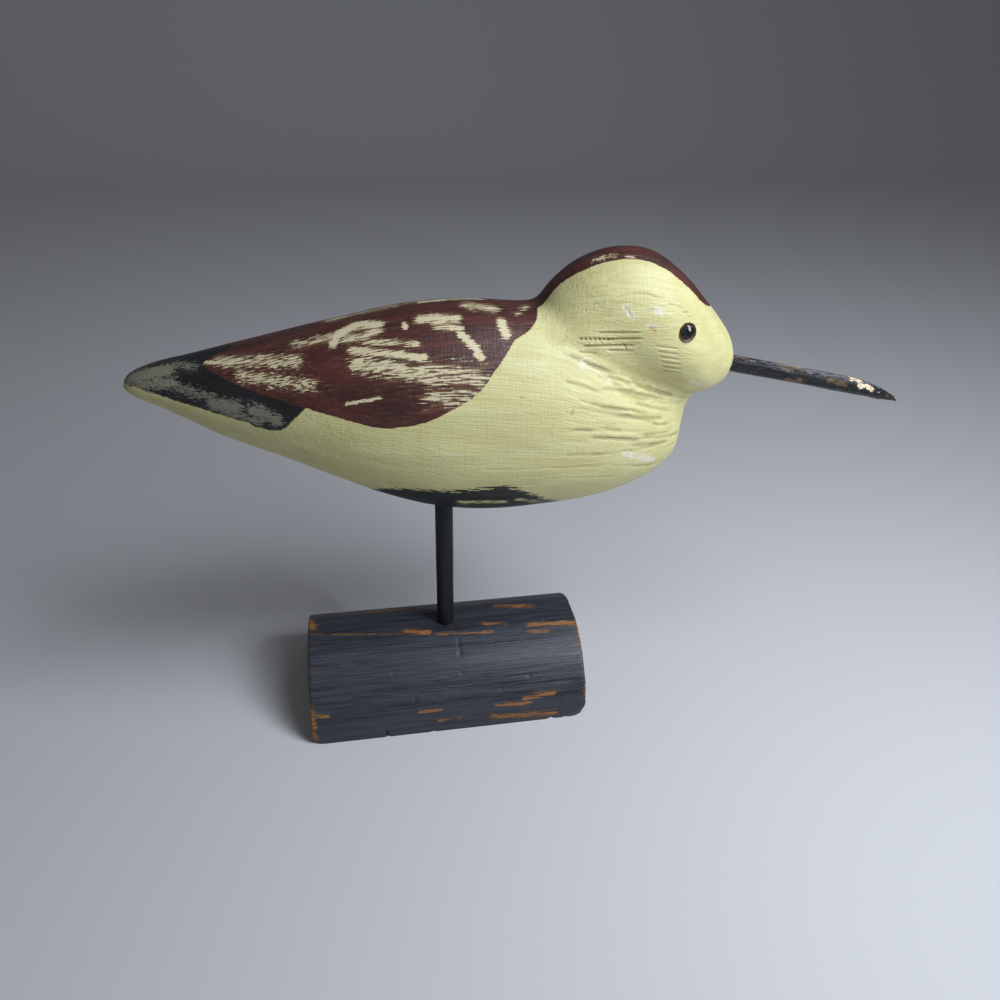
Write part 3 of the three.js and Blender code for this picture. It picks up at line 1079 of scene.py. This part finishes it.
# %% Bend the grain with the body
upper_guide = [(-96, 131.5), (-50, 143), (0, 150), (30, 146), (44, 139.5), (60, 130.3), (81, 119.5), (95, 112)]
lower_guide = [(-96, 128), (-50, 104), (0, 84), (30, 82), (55, 87), (76, 98), (95, 108)]
least_spread = 26.0
grain_spread = 48.0


def grain_of(points):
    """The grain vector: along the grain, then through and across it, in millimetres."""
    x, y, z = points.T
    upper = np.interp(x, *np.transpose(smooth_curve(upper_guide)))
    lower = np.interp(x, *np.transpose(smooth_curve(lower_guide)))
    body = (z - (upper + lower) / 2) / np.maximum(upper - lower, least_spread) * grain_spread
    arched = 0.008 * (x - 55) ** 2 * smooth_step(z, 145.0, 156.0)
    head = z - 140 + arched + 0.12 * np.clip(x - 62, 0, None) * (1 - smooth_step(z, 138.0, 146.0))
    share = smooth_step(z - hollow_height(x), -1.0, 3.0) * smooth_step(x, 28.0, 38.0)
    return np.column_stack([x, y, body * (1 - share) + head * share])


# %% [markdown]
# ### Where the bird is worn
#
# The red back has been rubbed through to the cream in many places, mostly along the grain. The worn
# places are drawn on the near side as lines in space. The far side gets its own, fewer and plainer,
# because the picture doesn't show it. The tail was dry-brushed: a nearly empty brush left broken grey
# streaks over the black. The cream has a few pale scuffs and one tan spot.

# %% Draw the worn places
back_wear = [
    ([(-33, -11, 144.3), (-31, -8, 145.8), (-26, -6, 147.3), (-19.5, -7.5, 148.2)], 1.9, 1.0),
    ([(-29, -10.5, 144.8), (-20, -10, 147)], 2.4, 0.7),
    ([(-12, -9.6, 148.8), (-11.7, -11, 148)], 0.9, 1.25),
    ([(-7, -9, 149.5), (3, -9.5, 149.7)], 2.2, 0.95),
    ([(-3, -12, 148.6), (4, -13, 147.9)], 1.6, 0.8),
    ([(8, -3, 151), (15, -5, 150.7)], 2.8, 0.75),
    ([(17, -11, 148.4), (17.8, -14.5, 146)], 1.7, 1.1),
    ([(4.5, -15, 146.2), (7.7, -17.7, 143.8), (9.5, -20, 140.8)], 1.3, 1.1),
    ([(-27.7, -14.4, 142.8), (-18, -17, 142.2), (-7, -19.2, 141.6)], 1.6, 0.85),
    ([(-24, -13, 144.6), (-9, -16, 144.6)], 1.3, 0.65),
    ([(-26.5, -17.7, 139.8), (-1, -22.8, 136.2)], 3.2, 0.7),
    ([(-30.5, -22.3, 129.4), (-20.5, -23.4, 131.2)], 0.5, 1.05),
    ([(-8, -21.5, 138), (8, -22.5, 136)], 4.5, 0.6),
    ([(-6, -24, 131), (8, -24.5, 130)], 4.0, 0.5),
    ([(-50.6, -12.7, 138.4), (-50, -13, 138.2)], 0.7, 1.2),
    ([(-66, -7, 138.3), (-44, -13, 139.5)], 3.0, 0.6),
    ([(-60, -12, 135.3), (-40, -18.5, 134)], 2.6, 0.62),
    ([(-44, -8, 143), (-30, -9, 145.6)], 2.4, 0.6),
    ([(-71, -5.5, 137.6), (-62, -8.5, 138)], 0.9, 0.9),
    ([(-34, 3, 146.6), (12, 3.5, 151.4)], 3.0, 0.6),
    ([(-6, 2.5, 151.2), (1, 2.5, 151.3)], 1.6, 0.95),
    ([(22, -7, 150.3), (26, -3, 150.8)], 1.8, 0.5),
    ([(46, -4, 164.5), (52, -4.5, 166.3)], 1.6, 0.6),
    ([(56, -5.8, 166), (58, -6.4, 165.8)], 0.9, 0.9),
    ([(-40, 12, 142), (-18, 16, 143)], 3.2, 0.72),
    ([(-10, 20, 139), (8, 18, 143)], 3.4, 0.66),
    ([(-60, 10, 137.6), (-44, 15, 137)], 2.6, 0.66),
    ([(-30, 20, 134), (-14, 23, 132)], 2.4, 0.6),
]
tail_wear = [
    ([(-93, -3.5, 132.8), (-82, -5, 135.4)], 3.0, 1.0),
    ([(-90, -6.5, 131.8), (-80, -8.5, 132.6)], 2.2, 0.8),
    ([(-80, -3, 136.4), (-74, -6, 136)], 2.0, 0.55),
    ([(-78, -10, 131.4), (-68, -13, 129)], 2.0, 0.6),
    ([(-69, -13.8, 127.6), (-62.3, -15, 127)], 2.4, 0.9),
    ([(-57.5, -16.6, 126.4), (-51, -18.4, 123.6)], 2.4, 0.85),
    ([(-66, -14.8, 125.2), (-56, -17, 122.6)], 1.6, 0.75),
    ([(-90, 3, 134), (-74, 7, 136)], 3.0, 0.7),
    ([(-76, 11, 131), (-54, 17, 124.5)], 2.6, 0.7),
]
belly_wear = [
    ([(3.5, -19, 91), (17.5, -19.5, 90.3)], 1.8, 0.75),
    ([(-14, -20, 95), (-6, -21, 94.5)], 1.0, 0.5),
    ([(22, -20, 92), (32, -15.5, 88)], 1.6, 0.6),
    ([(4, 19, 91), (14, 19.5, 90)], 1.6, 0.6),
]
pale_scuffs = [
    ([(56, -22.8, 107), (62, -20.5, 104.6), (68.4, -16.7, 101)], 1.3, 0.8),
    ([(63, -16.8, 152), (65, -16.4, 151.4)], 1.7, 0.8),
    ([(61.5, -17.6, 148), (63.5, -17.6, 147.4)], 1.4, 0.5),
    ([(79, -13.6, 126.6), (83, -12, 125)], 1.0, 0.9),
    ([(53.2, -15.6, 153.4), (56, -16.6, 150.2)], 1.0, 0.8),
    ([(41, -18.5, 137), (53.3, -18.8, 130), (66.6, -15.3, 123.4)], 1.6, 0.6),
    ([(38, -9.5, 157.6), (41, -10, 159)], 1.0, 0.5),
    ([(44, -26, 112), (50, -25, 111)], 1.4, 0.4),
    ([(-4, -26.5, 113), (2, -26.8, 112)], 1.6, 0.4),
    ([(60, 19, 108), (70, 15, 104)], 1.4, 0.6),
    ([(46, 18, 134), (60, 17, 128)], 1.6, 0.5),
]
tan_spots = [
    ([(61.9, -17.5, 146.9), (62.8, -17.5, 146.6)], 0.7, 1.0),
    ([(57, -16.2, 135.2), (58.4, -16.2, 134.8)], 0.8, 0.5),
    ([(21, -25, 130.4), (21.6, -25, 129.6)], 0.5, 0.9),
]

# %% Store everything that the paint needs
points = read_points(bird)
normals = read_normals(bird)
store(bird, "grain", grain_of(points))
store(bird, "red_edge", red_area(points, normals))
store(bird, "tail_edge", tail_area(points, normals))
store(bird, "belly_edge", belly_area(points, normals))
store(bird, "back_rub", near_marks(points, back_wear))
store(bird, "tail_rub", near_marks(points, tail_wear))
store(bird, "belly_rub", near_marks(points, belly_wear))
store(bird, "scuff", near_marks(points, pale_scuffs))
store(bird, "tan", near_marks(points, tan_spots))
# The depth of the tool cuts is kept so that the paint can darken them with dirt and painted shade.
store(bird, "cut", np.clip(-carving(points, normals), 0, 0.5))
print("worn places on the bird:", len(back_wear) + len(tail_wear) + len(belly_wear))

# %% [markdown]
# ### The bird's paint
#
# The finish is built in the order in which the bird was painted and worn. Cream goes on first, with
# brush marks, the cuts darkened by dirt and painted shade, and pale scuffs. Black goes over it on the tail
# and the belly, then red on the back and crown. Each later coat is rubbed through last.

# %% Mix the bird's paint
bird_finish, tree, shader = new_finish("cream_black_and_red_paint", Specular_IOR_Level=0.5)
grain = read_vector(tree, "grain")


def streak(length, width, seed):
    """Streaks along the bird's grain."""
    return use_effect(tree, streaks, {"Grain": grain, "Length": length, "Width": width, "Seed": seed}, "Streak")


def worn(rub, length, width, softness, seed):
    """Where a coat of the bird's paint is rubbed through."""
    inputs = {"Grain": grain, "Rub": rub, "Length": length, "Width": width, "Softness": softness, "Seed": seed}
    return use_effect(tree, rubbed, inputs, "Mask")


def coat_edge(name, wobble, drag, softness, seed):
    """The mask of one coat inside its border."""
    inputs = {
        "Distance": read_value(tree, name),
        "Grain": grain,
        "Wobble": wobble,
        "Drag": drag,
        "Softness": softness,
        "Seed": seed,
    }
    return use_effect(tree, border, inputs, "Mask")


hair = streak(9.0, 0.5, 3.0)
broad = streak(26.0, 3.0, 9.0)
cross_hair = use_effect(tree, streaks, {"Grain": grain, "Length": 0.55, "Width": 5.0, "Seed": 6.0}, "Streak")
cut = ease(tree, read_value(tree, "cut"), 0.02, 0.32)

cream = lay_over(tree, broad, swatch(205, 199, 138), swatch(216, 211, 156))
cream = lay_over(tree, calc(tree, "MULTIPLY", hair, 0.3), cream, swatch(196, 188, 126))
cream = lay_over(tree, calc(tree, "MULTIPLY", cross_hair, 0.18), cream, swatch(196, 188, 126))
# The cuts are darkened to olive: partly dirt, partly painted shade in the recesses.
cream = lay_over(tree, calc(tree, "MULTIPLY", cut, 0.55), cream, swatch(112, 100, 58))
scuffed = worn(read_value(tree, "scuff"), 3.0, 0.6, 0.25, 2.0)
cream = lay_over(tree, calc(tree, "MULTIPLY", scuffed, 0.75), cream, swatch(226, 220, 206))
spotted = worn(read_value(tree, "tan"), 1.5, 0.8, 0.3, 4.0)
cream = lay_over(tree, calc(tree, "MULTIPLY", spotted, 0.7), cream, swatch(178, 128, 88))

tail = coat_edge("tail_edge", 0.8, 0.5, 0.18, 1.0)
dry_brush = worn(calc(tree, "ADD", read_value(tree, "tail_rub"), 0.02), 3.5, 0.42, 0.14, 7.0)
black = lay_over(tree, broad, swatch(20, 21, 22), swatch(34, 35, 36))
black_tail = lay_over(tree, calc(tree, "MULTIPLY", dry_brush, 0.8), black, swatch(142, 140, 120))
colour = lay_over(tree, tail, cream, black_tail)

belly = coat_edge("belly_edge", 1.2, 2.6, 0.2, 5.0)
belly_bare = worn(read_value(tree, "belly_rub"), 4.0, 0.4, 0.12, 8.0)
colour = lay_over(tree, calc(tree, "MULTIPLY", belly, calc(tree, "SUBTRACT", 1.0, belly_bare)), colour, black)

red_coat = coat_edge("red_edge", 0.5, 0.3, 0.14, 2.0)
back_rub = read_value(tree, "back_rub")
red = lay_over(tree, broad, swatch(62, 32, 29), swatch(92, 46, 40))
red = lay_over(tree, calc(tree, "MULTIPLY", hair, 0.35), red, swatch(48, 27, 25))
thin = worn(calc(tree, "ADD", back_rub, 0.1), 6.0, 0.55, 0.3, 1.5)
red = lay_over(tree, calc(tree, "MULTIPLY", thin, 0.6), red, swatch(126, 98, 66))
bare = worn(calc(tree, "SUBTRACT", back_rub, 0.06), 7.0, 0.4, 0.12, 1.5)
red = lay_over(tree, bare, red, swatch(214, 203, 164))
colour = lay_over(tree, red_coat, colour, red)
tree.links.new(colour, shader.inputs["Base Color"])

dark_coat = calc(tree, "MAXIMUM", red_coat, calc(tree, "MAXIMUM", tail, belly))
gloss = calc(tree, "ADD", ease(tree, hair, 0.0, 1.0, 0.42, 0.56), calc(tree, "MULTIPLY", scuffed, 0.15))
tree.links.new(calc(tree, "SUBTRACT", gloss, calc(tree, "MULTIPLY", dark_coat, 0.06)), shader.inputs["Roughness"])
relief = calc(tree, "ADD", calc(tree, "MULTIPLY", hair, 0.6), calc(tree, "MULTIPLY", cross_hair, 0.25))
relief = calc(tree, "ADD", relief, calc(tree, "MULTIPLY", streak(5.0, 0.22, 12.0), 0.25))
raise_surface(tree, shader, relief, 0.12)

bird.data.materials.append(bird_finish)
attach(bird, "root")
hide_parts("bird_body")

# %% [markdown]
# ## The bill
#
# The bill is a stick of hard wood, whittled flat on its sides and cut slanting at the tip. A disc is
# drawn out along X, one rib at a time, and each new rib is given its height and width. Long bisects
# then take the whittled flats off it. Last it is turned to its droop and set in the face.

# %% Draw the bill out and whittle it
bill_thick = 3.2
bill_peg = 9.0
bill_ribs = [
    (0, 3.2, 3.2, 3.2),
    (28, 3.1, 3.1, 3.1),
    (48, 2.95, 3.1, 3.0),
    (54, 2.75, 3.1, 2.85),
    (60, 1.85, 3.15, 2.6),
    (65.4, 0.4, 3.2, 2.1),
    (69.8, -0.9, 3.2, 1.4),
    (71.3, -1.7, 3.0, 0.8),
]
whittled = [(60, 2.72), (-5, 2.72), (100, 2.8), (130, 2.85), (184, 2.8), (-62, 2.85), (-118, 2.85)]

bpy.ops.object.select_all(action="DESELECT")
bpy.ops.mesh.primitive_circle_add(
    vertices=48,
    radius=bill_thick * MM,
    fill_type="NGON",
    location=(-bill_peg * MM, 0, 0),
    rotation=(0, math.pi / 2, 0),
)
bill = bpy.context.object
bill.name = "drooping_bill"
write_place_into_mesh(bill)
bpy.ops.object.mode_set(mode="EDIT")
bpy.ops.mesh.select_all(action="SELECT")
last_along, last_tall, last_half, last_middle = -bill_peg, bill_thick, bill_thick, 0.0
for along, above, below, half in bill_ribs:
    tall = (above + below) / 2
    middle = (above - below) / 2
    step = (along - last_along, 0, middle - last_middle)
    bpy.ops.mesh.extrude_region_move(TRANSFORM_OT_translate={"value": Vector(step) * MM})
    bpy.ops.transform.resize(
        value=(1, half / last_half, tall / last_tall), center_override=(along * MM, 0, middle * MM)
    )
    last_along, last_tall, last_half, last_middle = along, tall, half, middle
bpy.ops.mesh.select_all(action="SELECT")
bpy.ops.mesh.normals_make_consistent(inside=False)
for degrees, from_axis in whittled:
    outward = Vector((0, -math.cos(math.radians(degrees)), math.sin(math.radians(degrees))))
    bpy.ops.mesh.select_all(action="SELECT")
    bpy.ops.mesh.bisect(
        plane_co=outward * from_axis * MM, plane_no=outward, use_fill=True, clear_outer=True
    )
bpy.ops.object.mode_set(mode="OBJECT")
finish_with(bill, "REMESH", mode="VOXEL", voxel_size=0.25 * MM, use_smooth_shade=True)
smooth_with(bill, np.full(len(bill.data.vertices), 0.8), 2)
print("bill:", len(bill.data.polygons), "faces, whittled on", len(whittled), "sides")

# %% [markdown]
# The flats run a little crooked, the grain stands up along them, and the tip is battered: its end is
# ragged and the paint has broken off it in flakes.

# %% Batter the bill
points = read_points(bill)
normals = read_normals(bill)
exposed = smooth_step(points[:, 0], 0.0, 2.0)
toward_tip = smooth_step(points[:, 0], 46.0, 68.0)
wander = 0.16 * noise_at(points, (9, 3, 3), 41)
fibres = 0.05 * noise_at(points, (10, 0.7, 0.7), 42)
pocks = 0.12 * noise_at(points, (1.3, 0.9, 0.9), 43) + 0.1 * noise_at(points, (2.8, 1.6, 1.6), 44)
points += normals * (exposed * (wander + fibres - 0.1 + (0.25 + 0.9 * toward_tip) * pocks))[:, None]
ragged_end = smooth_step(points[:, 0], 69.0, 71.4)
points[:, 0] -= ragged_end * (0.5 + 0.8 * noise_at(points, (9, 0.8, 0.8), 45))


def on_bill(along, degrees):
    """The place on the bill at a distance from the face, and at an angle up from its near side."""
    angle = math.radians(degrees)
    return (along, -2.9 * math.cos(angle), 2.9 * math.sin(angle))


flaked = [
    ([on_bill(52.8, 22), on_bill(55.5, 27), on_bill(58.4, 18)], 1.0, 1.35),
    ([on_bill(58.4, 10), on_bill(62, 4)], 0.7, 1.0),
    ([on_bill(62.5, 12), on_bill(64.2, 22), on_bill(66.5, 12), on_bill(68.5, 2)], 0.55, 1.3),
    ([on_bill(49.5, 80), on_bill(52.3, 62)], 1.0, 1.15),
    ([on_bill(48.7, 52), on_bill(49.2, 50)], 0.45, 1.4),
    ([on_bill(57, 58), on_bill(58, 52)], 0.4, 1.4),
    ([on_bill(61, 44), on_bill(62.4, 34)], 0.4, 1.4),
    ([on_bill(69.5, 5), on_bill(71, -20)], 1.1, 1.1),
    ([on_bill(66, 40), on_bill(70.5, 5)], 0.8, 0.85),
    ([on_bill(20, 120), on_bill(30, 115)], 0.9, 0.9),
    ([on_bill(44, 140), on_bill(58, 120)], 1.1, 0.9),
    ([on_bill(36, 178), on_bill(52, 172)], 0.8, 0.95),
    ([on_bill(62, 150), on_bill(70, 160)], 1.0, 1.0),
]
browned = [
    ([on_bill(2, 95), on_bill(7.5, 88)], 1.3, 0.95),
    ([on_bill(19, 92), on_bill(29, 80)], 1.2, 1.0),
    ([on_bill(21, 50), on_bill(24, 44)], 0.9, 0.8),
    ([on_bill(24, -25), on_bill(29, -30)], 1.2, 0.75),
    ([on_bill(40, 20), on_bill(47, 12)], 1.0, 0.8),
    ([on_bill(46, 100), on_bill(54, 80)], 1.4, 0.9),
    ([on_bill(67, 0), on_bill(71, -5)], 2.0, 0.9),
]
upness = smooth_step(np.degrees(np.arctan2(points[:, 2], -points[:, 1])), 8.0, 30.0)
upness *= 1 - smooth_step(np.degrees(np.arctan2(points[:, 2], points[:, 1])), 100.0, 172.0)
dusty = 0.72 * upness * (0.55 + 0.45 * smooth_step(points[:, 0], 4.0, 40.0))
store(bill, "grain", points)
store(bill, "flaked", near_marks(points, flaked))
store(bill, "browned", near_marks(points, browned))
store(bill, "rub", dusty)
write_points(bill, points)
set_in_face = Matrix.Translation(Vector(bill_root) * MM) @ Matrix.Rotation(bill_droop, 4, "Y")
bill.matrix_world = set_in_face
write_place_into_mesh(bill)
pick_only(bill)
bpy.ops.object.shade_smooth_by_angle(angle=math.radians(50))

# %% [markdown]
# The bill's black is dull and worn. Above, where hands and dust reach it, grey shows through in short
# streaks, brown wood shows in a few places, and at the tip the black has flaked off down to cream.

# %% Paint the bill
bill_finish, tree, shader = new_finish("worn_black", Specular_IOR_Level=0.35)
grain = read_vector(tree, "grain")
specks = place(
    tree, "ShaderNodeTexNoise", {"Vector": grain, "Scale": 1.5, "Detail": 3.0, "Roughness": 0.7}
).outputs["Fac"]
fine_streak = use_effect(tree, streaks, {"Grain": grain, "Length": 4.0, "Width": 0.5, "Seed": 3.0}, "Streak")
black = lay_over(tree, fine_streak, swatch(13, 13, 13), swatch(30, 30, 31))
rub = read_value(tree, "rub")
inputs = {"Grain": grain, "Rub": rub, "Length": 2.6, "Width": 0.5, "Softness": 0.3, "Seed": 1.0}
greyed = use_effect(tree, rubbed, inputs, "Mask")
colour = lay_over(tree, calc(tree, "MULTIPLY", greyed, 0.85), black, swatch(112, 112, 116))
inputs = {"Grain": grain, "Rub": read_value(tree, "browned"), "Length": 3.0, "Width": 0.6, "Softness": 0.25}
brown = use_effect(tree, rubbed, inputs, "Mask")
colour = lay_over(tree, calc(tree, "MULTIPLY", brown, 0.7), colour, swatch(118, 92, 66))
inputs = {"Grain": grain, "Rub": read_value(tree, "flaked"), "Length": 1.2, "Width": 0.9, "Softness": 0.12}
bare = use_effect(tree, rubbed, inputs, "Mask")
flake = lay_over(tree, ease(tree, specks, 0.35, 0.62), swatch(168, 128, 78), swatch(238, 226, 204))
colour = lay_over(tree, bare, colour, flake)
tree.links.new(colour, shader.inputs["Base Color"])
tree.links.new(ease(tree, greyed, 0.0, 1.0, 0.45, 0.62), shader.inputs["Roughness"])
relief = calc(tree, "SUBTRACT", calc(tree, "ADD", specks, fine_streak), calc(tree, "MULTIPLY", bare, 1.2))
raise_surface(tree, shader, relief, 0.1)
bill.data.materials.clear()
bill.data.materials.append(bill_finish)
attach(bill, "root")
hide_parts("bill")

# %% [markdown]
# ## The glass eyes
#
# A taxidermist's glass eye is a clear dome of glass, painted on its back: a dark pupil in the middle
# and an amber-brown iris round it. Each part is a short profile spun about the eye's axis. The iris
# is a shallow cup and the pupil a disc above its floor, both sealed inside the glass.

# %% Spin a round part about an eye's axis
eye_radius = 3.1
eye_height = 1.7
eye_drum = 1.6
dome_steps = 8
dome_sphere = (eye_radius**2 + eye_height**2) / (2 * eye_height)


def spin_part(name, profile, middle, axis):
    """Spin a closed profile of (distance from the axis, height) places into a solid, in millimetres."""
    bpy.ops.object.select_all(action="DESELECT")
    bpy.ops.mesh.primitive_circle_add(vertices=len(profile), radius=MM)
    part = bpy.context.object
    part.name = name
    bpy.ops.object.mode_set(mode="EDIT")
    outline = bmesh.from_edit_mesh(part.data)
    for vertex, (reach, height) in zip(outline.verts, profile):
        vertex.co = Vector((reach, 0, height)) * MM
    bmesh.update_edit_mesh(part.data)
    bpy.ops.mesh.select_all(action="SELECT")
    bpy.ops.mesh.spin(steps=64, angle=2 * math.pi, center=(0, 0, 0), axis=(0, 0, 1))
    bpy.ops.mesh.select_all(action="SELECT")
    bpy.ops.mesh.remove_doubles(threshold=0.002 * MM)
    bpy.ops.mesh.dissolve_degenerate(threshold=0.002 * MM)
    bpy.ops.mesh.normals_make_consistent(inside=False)
    bpy.ops.object.mode_set(mode="OBJECT")
    turn = Vector(axis).to_track_quat("Z", "Y").to_matrix().to_4x4()
    part.matrix_world = Matrix.Translation(Vector(middle) * MM) @ turn
    write_place_into_mesh(part)
    bpy.ops.object.shade_smooth_by_angle(angle=math.radians(35))
    return part


def dome_profile():
    """The outline of the clear glass: a flat back, a straight wall and a domed front."""
    lowest = eye_height - dome_sphere
    widest = math.asin(eye_radius / dome_sphere)
    profile = [(0.0, -eye_drum), (eye_radius, -eye_drum)]
    for step in range(dome_steps + 1):
        angle = widest * (1 - step / dome_steps)
        profile.append((dome_sphere * math.sin(angle), lowest + dome_sphere * math.cos(angle)))
    return profile


iris_profile = [(0, -1.5), (3.02, -1.5), (3.02, 0.02), (2.94, 0.02), (2.88, -1.1), (1.6, -1.3), (0, -1.3)]
pupil_profile = [(0, -1.22), (1.62, -1.22), (1.66, -1.16), (1.2, -0.95), (0, -0.9)]

# %% [markdown]
# The glass is clear, so it takes plain shader values. The iris is amber-brown with fine spokes, and
# the pupil is black.

# %% Make the eyes
glass, tree, shader = new_finish("clear_glass", Roughness=0.02, IOR=1.5, Transmission_Weight=1.0)
iris_paint, tree, shader = new_finish("amber_brown_iris", Roughness=0.4)
spokes = place(
    tree, "ShaderNodeTexNoise", {"Vector": read_vector(tree, "grain"), "Scale": 1.0, "Detail": 2.0}
).outputs["Fac"]
amber = lay_over(tree, ease(tree, spokes, 0.3, 0.7), swatch(96, 48, 18), swatch(150, 86, 34))
tree.links.new(amber, shader.inputs["Base Color"])
pupil_paint, tree, shader = new_finish("pupil_black", Base_Color=swatch(4, 4, 5), Roughness=0.4)

for side_name, node, side in (("near", "eye_near", near_side), ("far", "eye_far", far_side)):
    middle = eye_middle * side
    axis = eye_axis * side
    eye = spin_part(side_name + "_glass_eye", dome_profile(), middle, axis)
    eye.data.materials.append(glass)
    iris = spin_part(side_name + "_iris", iris_profile, middle, axis)
    offset = read_points(iris) - middle
    across = np.cross(axis, (0.0, 0.0, 1.0))
    turned = np.arctan2(offset @ np.cross(across, axis), offset @ across)
    store(iris, "grain", np.column_stack([3 * np.cos(turned), 3 * np.sin(turned), 0 * turned]))
    iris.data.materials.append(iris_paint)
    pupil = spin_part(side_name + "_pupil", pupil_profile, middle, axis)
    pupil.data.materials.append(pupil_paint)
    for piece in (eye, iris, pupil):
        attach(piece, "root")
    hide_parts(node)
    print(side_name, "eye:", len(eye.data.polygons), "faces of glass over its iris and pupil")
